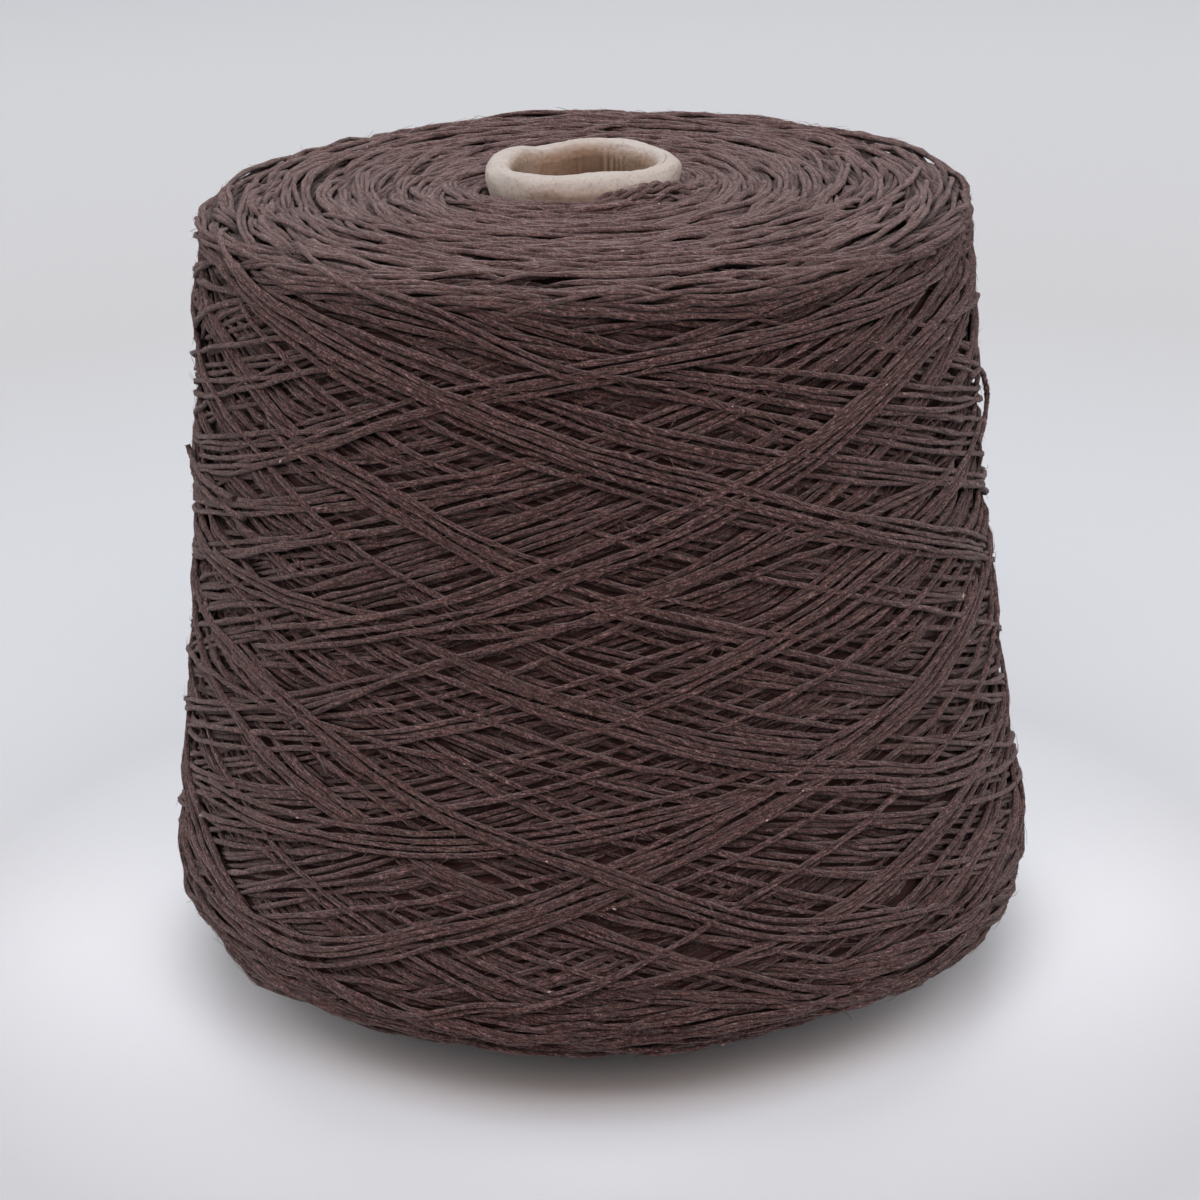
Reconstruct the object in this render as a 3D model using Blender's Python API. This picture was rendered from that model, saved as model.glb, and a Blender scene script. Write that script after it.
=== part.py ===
"""A cone of yarn: soft yarn cross-wound on a paper cone whose nose is rolled over into a bead.

The frame: Z runs up the cone's axis, the origin is the middle of the paper cone's base ring, and the front is
towards -Y. Azimuths are in degrees round the axis, 0 at the front and growing towards +X.
"""

import math

import bmesh
import bpy

# Paper cone, in metres. A textile cone of the 5 degree 57 minute taper, 170 mm long.
CONE_LENGTH = 0.170
CONE_BASE_RADIUS = 0.0355
CONE_TAPER = math.tan(math.radians(5.95))
CONE_WALL = 0.0020
BEAD_RADIUS = 0.0194
BEAD_MOUTH_RADIUS = 0.0149
BEAD_TALLER_THAN_WIDE = 1.25
BEAD_DEPTH = 0.0075
RIM_RIPPLE = 0.00025
RIM_DENT = 0.0008
RIM_DENT_AZIMUTH = -138
RIM_DENT_HALF_WIDTH = 26
CONE_COLUMNS = 48
CONE_WALL_ROWS = 4
BEAD_ROWS = 9

# Wound yarn, in metres. Its radii are those of the side run on to the end faces, with no shoulders.
YARN_FOOT = 0.0145
YARN_HEAD = 0.1650
YARN_FOOT_RADIUS = 0.0918
YARN_HEAD_RADIUS = 0.0766
YARN_WAIST = 0.0021
YARN_OFF_CENTRE = -0.0004
FOOT_SHOULDER = (0.0105, 0.0110)
HEAD_SHOULDER = (0.0085, 0.0045)
YARN_BORE_GAP = 0.0003
UNDERSIDE_RISE = 0.0055
BORE_TOP_UNDER_BEAD = 0.004
HEAD_DIP = 0.0028
HEAD_DIP_REACH = 0.006
HEAD_CLIMB_AZIMUTH = 20
WIND_ANGLE = math.radians(21.0)
TURN_ZONE = 0.022
SIDE_REACH = 0.014
YARN_COLUMNS = 108
SIDE_ROWS = 30
SHOULDER_ROWS = 5
HEAD_ROWS = 5
UNDERSIDE_ROWS = 3

SAME_POINT = 1e-6
ON_THE_HEAD = 1e-5

# The main bundles of yarn, laid last, which stand proud of the side all round. They cross it as helices.
BUNDLE_COLUMNS = ("climbs", "azimuth at half height", "width", "rise")
BUNDLES = (
    (+1, -108, 0.0080, 0.0013),
    (+1, -45, 0.0100, 0.0016),
    (+1, 10, 0.0075, 0.0013),
    (+1, 65, 0.0090, 0.0015),
    (+1, 106, 0.0080, 0.0012),
    (+1, 160, 0.0090, 0.0013),
    (+1, 204, 0.0080, 0.0012),
    (-1, 79, 0.0090, 0.0014),
    (-1, 31, 0.0080, 0.0013),
    (-1, -12, 0.0080, 0.0012),
    (-1, -61, 0.0100, 0.0016),
    (-1, -118, 0.0080, 0.0013),
    (-1, -168, 0.0090, 0.0014),
    (-1, 138, 0.0080, 0.0013),
)

# Where loose turns have slipped out or the shoulder has sunk, all round the package.
LOBE_COLUMNS = ("azimuth", "height", "half width in degrees", "half height", "rise")
LOBES = (
    (88, 0.030, 34, 0.011, 0.0022),
    (-62, 0.020, 30, 0.008, -0.0008),
    (150, 0.120, 40, 0.020, 0.0010),
    (-150, 0.060, 38, 0.018, 0.0012),
    (200, 0.026, 30, 0.011, 0.0014),
)


def material(name, colour, roughness):
    made = bpy.data.materials.new(name)
    made.use_nodes = True
    shader = made.node_tree.nodes["Principled BSDF"]
    shader.inputs["Base Color"].default_value = (*colour, 1.0)
    shader.inputs["Roughness"].default_value = roughness
    shader.inputs["Metallic"].default_value = 0.0
    return made


def named_rows(columns, rows):
    return [dict(zip(columns, row)) for row in rows]


def hump(distance, half_width):
    """A smooth hump: 1 in the middle, and 0 from the half width on."""
    share = abs(distance) / half_width
    return 0.0 if share >= 1.0 else (1.0 - share * share) ** 2


def turned_back(angle):
    """The same angle, between -180 and 180 degrees."""
    return (angle + 180.0) % 360.0 - 180.0


def between(start, end, steps):
    """Points from one (radius, height) to another, with neither end among them."""
    shares = [step / steps for step in range(1, steps)]
    return [tuple(a + (b - a) * share for a, b in zip(start, end)) for share in shares]


def cone_outer_radius(height):
    return CONE_BASE_RADIUS - CONE_TAPER * height


def yarn_side_radius(height):
    """The side's radius with no shoulder: a straight taper, drawn in a little at the waist."""
    share = min(max((height - YARN_FOOT) / (YARN_HEAD - YARN_FOOT), 0.0), 1.0)
    taper = YARN_FOOT_RADIUS + (YARN_HEAD_RADIUS - YARN_FOOT_RADIUS) * share
    return taper - YARN_WAIST * math.sin(math.pi * share)


def shoulder(edge_height, inset, depth, start, end):
    """A rounded edge of the package, as points on its side drawn in towards an end face."""
    points = []
    for step in range(SHOULDER_ROWS + 1):
        angle = math.radians(start + (end - start) * step / SHOULDER_ROWS)
        height = edge_height + depth * math.sin(angle)
        points.append((yarn_side_radius(height) - inset * (1.0 - math.cos(angle)), height))
    return points


def bead():
    """The rolled nose's section, an ellipse's arc from its outer root over the rim to its inner root."""
    middle = (BEAD_RADIUS + BEAD_MOUTH_RADIUS) / 2
    half_width = (BEAD_RADIUS - BEAD_MOUTH_RADIUS) / 2
    half_height = half_width * BEAD_TALLER_THAN_WIDE
    under = 20
    points = []
    for row in range(BEAD_ROWS + 1):
        angle = math.radians(-under + (180 + 2 * under) * row / BEAD_ROWS)
        height = CONE_LENGTH - half_height * (1.0 - math.sin(angle))
        points.append((middle + half_width * math.cos(angle), height))
    return points


def cone_profile():
    """The paper cone's section: up the outside, over the rolled nose, and down the inside."""
    neck = CONE_LENGTH - BEAD_DEPTH
    outer_foot = (CONE_BASE_RADIUS, 0.0)
    outer_neck = (cone_outer_radius(neck), neck)
    inner_neck = (outer_neck[0] - CONE_WALL, neck)
    inner_foot = (CONE_BASE_RADIUS - CONE_WALL, 0.0)
    outside = [outer_foot] + between(outer_foot, outer_neck, CONE_WALL_ROWS) + [outer_neck]
    inside = [inner_neck] + between(inner_neck, inner_foot, CONE_WALL_ROWS) + [inner_foot]
    return outside + bead() + inside


def yarn_profile():
    """The wound yarn's section: out along the underside, up the side, in over the head, and down the bore."""
    foot_out, foot_up = FOOT_SHOULDER
    head_in, head_down = HEAD_SHOULDER
    foot_side = YARN_FOOT + foot_up
    head_side = YARN_HEAD - head_down
    bore_foot_height = YARN_FOOT - UNDERSIDE_RISE
    bore_foot = (cone_outer_radius(bore_foot_height) + YARN_BORE_GAP, bore_foot_height)
    bore_head = (cone_outer_radius(YARN_HEAD) + BEAD_RADIUS - cone_outer_radius(CONE_LENGTH), YARN_HEAD)
    foot_shoulder = shoulder(foot_side, foot_out, foot_up, -90, 0)
    head_shoulder = shoulder(head_side, head_in, head_down, 0, 90)
    rows = [foot_side + (head_side - foot_side) * row / SIDE_ROWS for row in range(1, SIDE_ROWS)]
    side = [(yarn_side_radius(height), height) for height in rows]
    underside = [bore_foot] + between(bore_foot, foot_shoulder[0], UNDERSIDE_ROWS)
    head = between(head_shoulder[-1], bore_head, HEAD_ROWS) + [bore_head]
    bore_neck_height = CONE_LENGTH - BEAD_DEPTH - BORE_TOP_UNDER_BEAD
    bore = [(cone_outer_radius(bore_neck_height) + YARN_BORE_GAP, bore_neck_height)]
    return underside + foot_shoulder + side + head_shoulder + head + bore


def turned(name, profile, columns, finish):
    """A closed section turned once round the axis into a solid of that many columns."""
    shape = bmesh.new()
    ring = [shape.verts.new((radius, 0.0, height)) for radius, height in profile]
    edges = [shape.edges.new((a, b)) for a, b in zip(ring, ring[1:] + ring[:1])]
    bmesh.ops.spin(
        shape,
        geom=ring + edges,
        axis=(0.0, 0.0, 1.0),
        cent=(0.0, 0.0, 0.0),
        angle=2.0 * math.pi,
        steps=columns,
        use_merge=True,
    )
    bmesh.ops.remove_doubles(shape, verts=shape.verts, dist=SAME_POINT)
    bmesh.ops.recalc_face_normals(shape, faces=shape.faces)
    mesh = bpy.data.meshes.new(name)
    shape.to_mesh(mesh)
    shape.free()
    mesh.materials.append(finish)
    mesh.shade_smooth()
    solid = bpy.data.objects.new(name, mesh)
    bpy.context.scene.collection.objects.link(solid)
    return solid


def azimuth_of(point):
    return math.degrees(math.atan2(point.x, -point.y))


def bundle_rise(azimuth, height):
    """How far the main bundles lift the side here. Towards the end faces they flatten and fade."""
    half_height = (YARN_FOOT + YARN_HEAD) / 2
    to_end = min(height - YARN_FOOT, YARN_HEAD - height)
    fade = min(max(to_end / TURN_ZONE, 0.0), 1.0)
    around = yarn_side_radius(half_height) * math.tan(WIND_ANGLE)
    most = 0.0
    for bundle in named_rows(BUNDLE_COLUMNS, BUNDLES):
        turn = math.degrees((height - half_height) / around) * bundle["climbs"]
        off_axis = turned_back(azimuth - bundle["azimuth at half height"] - turn)
        across = math.radians(off_axis) * around * math.cos(WIND_ANGLE)
        most = max(most, bundle["rise"] * hump(across, bundle["width"]))
    return most * fade


def lobe_rise(azimuth, height):
    total = 0.0
    for lobe in named_rows(LOBE_COLUMNS, LOBES):
        sideways = hump(turned_back(azimuth - lobe["azimuth"]), lobe["half width in degrees"])
        total += lobe["rise"] * sideways * hump(height - lobe["height"], lobe["half height"])
    return total


def head_dip(azimuth, radius):
    """The yarn sinks close to the paper cone, all round but for the front, where its last turns climb it."""
    reach = hump(radius - BEAD_RADIUS - HEAD_DIP_REACH / 2, HEAD_DIP_REACH)
    behind = 0.5 - 0.5 * math.cos(math.radians(azimuth - HEAD_CLIMB_AZIMUTH))
    return HEAD_DIP * reach * behind


def shape_yarn(solid):
    """Raises the main bundles and lobes in the side, and sinks the head round the paper cone."""
    for vertex in solid.data.vertices:
        radius = math.hypot(vertex.co.x, vertex.co.y)
        azimuth = azimuth_of(vertex.co)
        on_side = hump(yarn_side_radius(vertex.co.z) - radius, SIDE_REACH)
        rise = (bundle_rise(azimuth, vertex.co.z) + lobe_rise(azimuth, vertex.co.z)) * on_side
        vertex.co.x *= 1.0 + rise / radius
        vertex.co.y *= 1.0 + rise / radius
        vertex.co.x += YARN_OFF_CENTRE * on_side
        if vertex.co.z > YARN_HEAD - ON_THE_HEAD:
            vertex.co.z -= head_dip(azimuth, radius)


def shape_bead(solid):
    """The nose has been knocked about: its rim ripples, and is pressed in at one place."""
    neck = CONE_LENGTH - BEAD_DEPTH
    for vertex in solid.data.vertices:
        share = min(max((vertex.co.z - neck) / BEAD_DEPTH, 0.0), 1.0)
        azimuth = azimuth_of(vertex.co)
        twice_round = math.sin(math.radians(2 * azimuth + 40))
        five_round = math.sin(math.radians(5 * azimuth))
        dent = hump(turned_back(azimuth - RIM_DENT_AZIMUTH), RIM_DENT_HALF_WIDTH)
        vertex.co.z += share * (RIM_RIPPLE * (twice_round + 0.5 * five_round) - RIM_DENT * dent)


def build():
    for old in list(bpy.data.objects):
        bpy.data.objects.remove(old)
    paper = material("raw paper board", (0.58, 0.47, 0.38), 0.85)
    yarn = material("brown yarn", (0.12, 0.085, 0.08), 0.95)
    shape_bead(turned("paper_cone", cone_profile(), CONE_COLUMNS, paper))
    shape_yarn(turned("yarn_winding", yarn_profile(), YARN_COLUMNS, yarn))


build()
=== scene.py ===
"""The looks of a cone of yarn: every turn of its yarn, its paper cone, and the studio it stands in.

Azimuths go round the cone's axis, 0 at the front (-Y) and growing towards +X. The winding's outer surface is
laid out flat as a chart: azimuth one way, and the way along its section the other, from the head's inner edge,
over the head, down the side and in along the underside. The turns are laid on that chart one by one, each on
what lies under it.
"""

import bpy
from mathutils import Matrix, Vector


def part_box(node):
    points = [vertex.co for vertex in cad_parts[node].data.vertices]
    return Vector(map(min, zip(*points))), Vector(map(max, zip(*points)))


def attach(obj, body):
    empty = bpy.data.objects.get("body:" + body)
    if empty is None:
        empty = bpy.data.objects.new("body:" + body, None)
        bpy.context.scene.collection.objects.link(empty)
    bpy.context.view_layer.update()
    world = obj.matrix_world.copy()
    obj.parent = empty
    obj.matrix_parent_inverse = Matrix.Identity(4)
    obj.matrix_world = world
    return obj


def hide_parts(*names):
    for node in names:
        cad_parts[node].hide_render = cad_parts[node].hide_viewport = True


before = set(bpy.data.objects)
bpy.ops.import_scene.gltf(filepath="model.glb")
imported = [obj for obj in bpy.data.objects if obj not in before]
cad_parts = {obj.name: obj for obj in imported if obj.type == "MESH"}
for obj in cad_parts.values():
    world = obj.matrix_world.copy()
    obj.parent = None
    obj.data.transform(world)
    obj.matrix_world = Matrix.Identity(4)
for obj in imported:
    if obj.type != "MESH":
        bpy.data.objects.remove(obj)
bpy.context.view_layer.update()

import copy
import math

import bpy
import numpy as np
from mathutils import Matrix, Vector, bvhtree

bl_info = {
    "name": "Cone of yarn",
    "version": (1, 0, 0),
    "blender": (4, 5, 0),
    "location": "3D View > Sidebar > Yarn cone",
    "description": "Winds a cone of yarn turn by turn on its paper cone, and sets it in a studio",
    "category": "Add Mesh",
}

MM = 0.001
YARN_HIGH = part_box("yarn_winding")[1]


# ----------------------------------------------------------------------------------------------------
# The winding's surface as a chart
# ----------------------------------------------------------------------------------------------------

CHART_COLUMNS = 1536
CHART_STEP = 0.36 * MM
TOP_LIFT = -0.5 * MM

# Where the solid's section is read: first and last radius on the head, height on the side, radius under it.
HEAD_RADII = (20.4 * MM, 66 * MM)
SIDE_HEIGHTS = (YARN_HIGH.z - 0.3 * MM, 15 * MM)
FOOT_RADII = (80 * MM, 36 * MM)
END_RAYS = 24
SIDE_RAYS = 120
SECTION_AZIMUTHS = 24
SECTION_EASE = 9
BEND_EASE = 15
RAY_REACH = 30 * MM
SIDE_LEAN = 0.97

# How the solid's own swelling out of that section is read.
SWELL_COLUMNS = 72
SWELL_ROWS = 64
SWELL_BLUR = 2
MOST_SWELL = 4 * MM

# Blocks of chart cells in which the pile settles, and how many blocks around share their level.
LEVEL_BLOCK = 8
LEVEL_REACH = 2

RIM_CLIMB = 1.5 * MM
RIM_CLIMB_REACH = 9 * MM
RIM_CLIMB_AZIMUTH = math.radians(15)
RIM_CLIMB_SPREAD = 0.7

# Where the package bulges or gives way at its edges: (azimuth, half width in degrees, outwards).
HEAD_BULGES = ((-138, 36, -0.8 * MM), (106, 36, 0.9 * MM))
FOOT_BULGES = ((54, 32, 1.9 * MM), (-52, 14, 1.0 * MM))
BULGE_SPREAD = 6.5 * MM
BULGE_WAY = 5 * MM


def on_circle(azimuth, radius, height):
    return Vector((radius * math.sin(azimuth), -radius * math.cos(azimuth), height))


def cad_tree(node):
    """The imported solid, ready for rays."""
    return bvhtree.BVHTree.FromObject(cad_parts[node], bpy.context.evaluated_depsgraph_get())


def ray_distances(tree, starts, directions, otherwise):
    """How far each ray goes before it meets the solid."""
    found = []
    for start, direction in zip(starts, directions):
        distance = tree.ray_cast(start, direction)[3]
        found.append(otherwise if distance is None else distance)
    return np.array(found)


def mean_over_azimuths(tree, points_at, direction_at, count):
    """Ray distances averaged over azimuths, one for each of the count points of a section."""
    total = np.zeros(count)
    for azimuth in np.linspace(0, 2 * math.pi, SECTION_AZIMUTHS, endpoint=False):
        starts = points_at(azimuth)
        total += ray_distances(tree, starts, [direction_at(azimuth)] * count, RAY_REACH)
    return total / SECTION_AZIMUTHS


def winding_section(tree):
    """The winding's mean section from the head's inner edge to the underside's, as evenly spaced points."""
    head_radii = np.linspace(*HEAD_RADII, END_RAYS)
    heights = np.linspace(*SIDE_HEIGHTS, SIDE_RAYS)
    foot_radii = np.linspace(*FOOT_RADII, END_RAYS)
    above = YARN_HIGH.z + RAY_REACH / 2
    below = -RAY_REACH / 4
    outside = YARN_HIGH.x + RAY_REACH / 4
    down = mean_over_azimuths(
        tree,
        lambda a: [on_circle(a, r, above) for r in head_radii],
        lambda a: Vector((0, 0, -1)),
        len(head_radii),
    )
    inwards = mean_over_azimuths(
        tree,
        lambda a: [on_circle(a, outside, z) for z in heights],
        lambda a: -on_circle(a, 1.0, 0.0),
        len(heights),
    )
    up = mean_over_azimuths(
        tree,
        lambda a: [on_circle(a, r, below) for r in foot_radii],
        lambda a: Vector((0, 0, 1)),
        len(foot_radii),
    )
    radii = np.concatenate([head_radii, outside - inwards, foot_radii])
    levels = np.concatenate([above - down, heights, up + below])
    along = np.concatenate([[0], np.cumsum(np.hypot(np.diff(radii), np.diff(levels)))])
    even = np.arange(0, along[-1], CHART_STEP)
    return [eased(np.interp(even, along, values), SECTION_EASE) for values in (radii, levels)]


def eased(values, width):
    """A running mean that keeps the ends."""
    for _ in range(3):
        padded = np.pad(values, width // 2, mode="reflect", reflect_type="odd")
        values = np.convolve(padded, np.ones(width) / width, mode="valid")
    return values


def blurred(values, columns, rows):
    """A chart blurred twice over, round the azimuth and along the section."""
    for _ in range(2):
        for axis, half, mode in ((0, columns, "wrap"), (1, rows, "edge")):
            pad = [(0, 0), (0, 0)]
            pad[axis] = (half + 1, half)
            sums = np.cumsum(np.pad(values, pad, mode=mode), axis=axis)
            width = 2 * half + 1
            if axis == 0:
                values = (sums[width:] - sums[:-width]) / width
            else:
                values = (sums[:, width:] - sums[:, :-width]) / width
    return values


def hump(off, reach):
    """1 at the middle, falling smoothly to 0 at the reach and beyond."""
    return 0.5 + 0.5 * np.cos(math.pi * np.clip(off / reach, -1, 1))


def turned_back(degrees):
    return (degrees + 180) % 360 - 180


class Chart:
    """The winding's outer surface, and the pile of turns on it."""

    def __init__(self):
        tree = cad_tree("yarn_winding")
        self.radius, self.height = winding_section(tree)
        self.rows = len(self.radius)
        self.columns = CHART_COLUMNS
        slope_r = np.gradient(self.radius, CHART_STEP)
        slope_z = np.gradient(self.height, CHART_STEP)
        length = np.hypot(slope_r, slope_z)
        self.normal_r = -slope_z / length
        self.normal_z = slope_r / length
        lean = np.unwrap(np.arctan2(self.normal_r, self.normal_z))
        self.bend_round = self.normal_r / self.radius
        self.bend_down = eased(np.gradient(lean, CHART_STEP), BEND_EASE)
        self.length = CHART_STEP * (self.rows - 1)
        self.swell = self.swell_of(tree) + self.rim_climb()
        self.pile = np.zeros((self.columns, self.rows))
        blocks = (self.columns // LEVEL_BLOCK, -(-self.rows // LEVEL_BLOCK))
        self.last_means = np.zeros(blocks)
        self.press = np.zeros(blocks)
        self.sunk = np.zeros(blocks)
        self.laid = 0
        self.between = self.block_weights()
        side = np.nonzero(self.normal_r > SIDE_LEAN)[0]
        self.side_start = side[0] * CHART_STEP
        self.side_end = side[-1] * CHART_STEP
        self.swell += self.bulges(HEAD_BULGES, self.side_start - BULGE_WAY)
        self.swell += self.bulges(FOOT_BULGES, self.side_end + BULGE_WAY)

    def swell_of(self, tree):
        """How far the solid stands out of its mean section, without its fine relief."""
        coarse = np.zeros((SWELL_COLUMNS, SWELL_ROWS))
        rows = np.linspace(0, self.rows - 1, SWELL_ROWS).astype(int)
        clear = RAY_REACH / 3
        for column in range(SWELL_COLUMNS):
            azimuth = 2 * math.pi * column / SWELL_COLUMNS
            starts, directions = [], []
            for row in rows:
                out = on_circle(azimuth, self.normal_r[row], self.normal_z[row])
                starts.append(on_circle(azimuth, self.radius[row], self.height[row]) + out * clear)
                directions.append(-out)
            coarse[column] = clear - ray_distances(tree, starts, directions, clear)
        coarse = blurred(np.clip(coarse, -MOST_SWELL, MOST_SWELL), SWELL_BLUR, SWELL_BLUR)
        across = np.arange(self.columns) * SWELL_COLUMNS / self.columns
        down = np.arange(self.rows) * (SWELL_ROWS - 1) / (self.rows - 1)
        left = np.floor(across).astype(int)
        part = (across - left)[:, None]
        wide = coarse[left] * (1 - part) + coarse[(left + 1) % SWELL_COLUMNS] * part
        top = np.minimum(np.floor(down).astype(int), SWELL_ROWS - 2)
        part = (down - top)[None, :]
        return (wide[:, top] * (1 - part) + wide[:, top + 1] * part).astype(np.float32)

    def rim_climb(self):
        """At the front the head climbs a little towards the rim."""
        azimuth = 2 * math.pi * np.arange(self.columns) / self.columns
        front = np.clip(0.5 + RIM_CLIMB_SPREAD * np.cos(azimuth - RIM_CLIMB_AZIMUTH), 0, 1)
        near = hump(np.arange(self.rows) * CHART_STEP, RIM_CLIMB_REACH)
        return (RIM_CLIMB * front[:, None] * near[None, :]).astype(np.float32)

    def bulges(self, rows, way):
        """How far the package stands out at one of its edges, which lies at that way along the section."""
        azimuth = 360 * np.arange(self.columns) / self.columns
        near = np.exp(-0.5 * ((np.arange(self.rows) * CHART_STEP - way) / BULGE_SPREAD) ** 2)
        out = sum(most * hump(turned_back(azimuth - middle), half) for middle, half, most in rows)
        return (out[:, None] * near[None, :]).astype(np.float32)

    def way_at_height(self, height):
        """The way along the section at which the side has this height."""
        side = slice(int(self.side_start / CHART_STEP), int(self.side_end / CHART_STEP))
        ways = np.arange(self.rows)[side] * CHART_STEP
        return np.interp(-np.asarray(height), -self.height[side], ways)

    def block_weights(self):
        """For each cell, the two blocks it lies between and its part of the way, round and down."""
        between = []
        for axis, (cells, blocks) in enumerate(zip(self.pile.shape, self.press.shape)):
            at = (np.arange(cells) + 0.5) / LEVEL_BLOCK - 0.5
            low = np.floor(at).astype(int)
            high = low + 1
            part = at - low
            if axis == 0:
                low, high = low % blocks, high % blocks
            else:
                low, high = np.clip(low, 0, blocks - 1), np.clip(high, 0, blocks - 1)
            between.append((low, high, part))
        return between

    def over_cells(self, field):
        """A block field spread smoothly over all cells."""
        (left, right, aside), (upper, lower, under) = self.between
        wide = field[left] * (1 - aside)[:, None] + field[right] * aside[:, None]
        return wide[:, upper] * (1 - under)[None, :] + wide[:, lower] * under[None, :]

    def block_means(self):
        across, down = self.press.shape
        spare = down * LEVEL_BLOCK - self.rows
        pile = np.pad(self.pile, ((0, 0), (0, spare)), mode="edge")
        return pile.reshape(across, LEVEL_BLOCK, down, LEVEL_BLOCK).mean((1, 3))

    def settle(self):
        """Presses the pile together as it grows: its relief shrinks, and its mean sinks back to the surface.

        A height h in the pile becomes h * exp(-shrink) - sink. The fields press and sunk gather these steps,
        so that a turn laid earlier can be followed down without moving it each time.
        """
        self.laid = 0
        means = self.block_means()
        growth = np.maximum(blurred(means - self.last_means, 1, 1), 0)
        shrink = PRESS_RATE * growth / PRESS_LAYER
        sink = blurred(means * np.exp(-shrink), LEVEL_REACH, LEVEL_REACH)
        self.pile = self.pile * np.exp(-self.over_cells(shrink)) - self.over_cells(sink)
        self.last_means = self.block_means()
        self.press += shrink
        self.sunk = self.sunk * np.exp(-shrink) + sink

    def field_at(self, field, azimuth, way):
        """A block field at chart points."""
        across, down = field.shape
        column = azimuth * (across / (2 * math.pi)) - 0.5 + 0.5 / LEVEL_BLOCK
        row = np.clip((way / CHART_STEP + 0.5) / LEVEL_BLOCK - 0.5, 0, down - 1.001)
        left, top = np.floor(column).astype(int), np.floor(row).astype(int)
        aside, under = column - left, row - top
        left, right = left % across, (left + 1) % across
        upper = field[left, top] * (1 - aside) + field[right, top] * aside
        lower = field[left, top + 1] * (1 - aside) + field[right, top + 1] * aside
        return upper * (1 - under) + lower * under

    def lift_now(self, turn):
        """The height over the surface to which a turn has sunk since it was laid."""
        azimuth, way = turn.line.azimuth, turn.line.way
        shrink = self.field_at(self.press, azimuth, way) - turn.press
        return (turn.lift + turn.sunk) * np.exp(-shrink) - self.field_at(self.sunk, azimuth, way)

    def cells(self, azimuth, way):
        column = np.round(azimuth * (self.columns / (2 * math.pi))).astype(int) % self.columns
        row = np.clip(np.round(way / CHART_STEP).astype(int), 0, self.rows - 1)
        return column, row

    def at_way(self, values, way):
        """The section's values at some ways along it."""
        return np.interp(way / CHART_STEP, np.arange(self.rows), values)

    def place(self, azimuth, way, lift):
        """World points of a chart's points, lifted off the surface, with the surface's normals there."""
        at = np.clip(way / CHART_STEP, 0, self.rows - 1.001)
        index = np.arange(self.rows)
        out_r = np.interp(at, index, self.normal_r)
        out_z = np.interp(at, index, self.normal_z)
        off = lift + self.swell[self.cells(azimuth, way)] + TOP_LIFT
        radius = np.interp(at, index, self.radius) + out_r * off
        height = np.interp(at, index, self.height) + out_z * off
        sine, cosine = np.sin(azimuth), -np.cos(azimuth)
        points = np.stack([radius * sine, radius * cosine, height], -1)
        normals = np.stack([out_r * sine, out_r * cosine, out_z], -1)
        return points, normals


# ----------------------------------------------------------------------------------------------------
# Laying turns
# ----------------------------------------------------------------------------------------------------

SAMPLE = 1.0 * MM
CONTACT_SHARE = 0.86
SINK = 0.07 * MM
SETTLE_EVERY = 3600
PRESS_RATE = 0.3
PRESS_LAYER = 0.9 * MM
DEEPEST = 20 * MM
DIVE_LENGTH = 14 * MM
DIVE_DEPTH = 2.2 * MM
HIGHEST_RIDE = 1.1 * MM
RIDE_PRESS = 0.85
ARC_REST = 86
LIFT_EASE = 5
STAMP_STEP = 0.34
FLATTEST_BEND = 1 / 0.12
SHARPEST_BEND = 1 / 0.012
LEAST_STEP = 1e-9
LEAST_ZONES = 2.2

# Where a strand's round underside and top are tested, as shares of its half width across it.
ACROSS_CONTACT = np.linspace(-0.8, 0.8, 7)
ACROSS_TOP = np.linspace(-0.96, 0.96, 11)


def wander(count, reach, size, rng):
    """Smooth random drift over count samples, with a new course about every reach."""
    knots = max(4, int(count * SAMPLE / reach) + 4)
    course = rng.normal(0, size, knots)
    at = np.linspace(1, knots - 2.001, count)
    left = at.astype(int)
    part = at - left
    ease = part * part * (3 - 2 * part)
    return course[left] * (1 - ease) + course[left + 1] * ease


def upper_hull(x, y):
    """The lowest concave line over the points, at the same x."""
    keep = []
    for i in range(len(x)):
        while len(keep) >= 2:
            a, b = keep[-2], keep[-1]
            if (y[b] - y[a]) * (x[i] - x[a]) > (y[i] - y[a]) * (x[b] - x[a]):
                break
            keep.pop()
        keep.append(i)
    return np.interp(x, x[keep], y[keep])


def smooth_line(values, width):
    kernel = np.hanning(width + 2)[1:-1]
    kernel /= kernel.sum()
    return np.convolve(np.pad(values, width // 2, mode="edge"), kernel, mode="valid")


class Line:
    """A line on the chart, with the unit steps along it, their lengths, and the package's radius there."""

    def __init__(self, chart, azimuth, way):
        self.azimuth, self.way = azimuth, way
        self.radius = chart.at_way(chart.radius, way)
        round_step = np.gradient(azimuth) * self.radius
        down_step = np.gradient(way)
        self.length = np.hypot(round_step, down_step) + LEAST_STEP
        self.round_unit = round_step / self.length
        self.down_unit = down_step / self.length

    def resampled(self, at):
        """The same line at other places, given as sample numbers."""
        index = np.arange(len(self.azimuth))
        finer = copy.copy(self)
        for name, values in vars(self).items():
            setattr(finer, name, np.interp(at, index, values))
        return finer

    def across(self, radii, shares):
        """Chart points across the line, at the given shares of the strand's radii."""
        off = radii[:, None] * shares[None, :]
        azimuth = self.azimuth[:, None] - self.down_unit[:, None] * off / self.radius[:, None]
        return azimuth, self.way[:, None] + self.round_unit[:, None] * off


class Turn:
    """One laid stretch of yarn: its line, height and thickness, and how far the pile had settled under it."""

    def __init__(self, chart, line, lift, radii, tone):
        self.line, self.lift, self.radii, self.tone = line, lift, radii, tone
        self.press = chart.field_at(chart.press, line.azimuth, line.way)
        self.sunk = chart.field_at(chart.sunk, line.azimuth, line.way)


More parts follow.
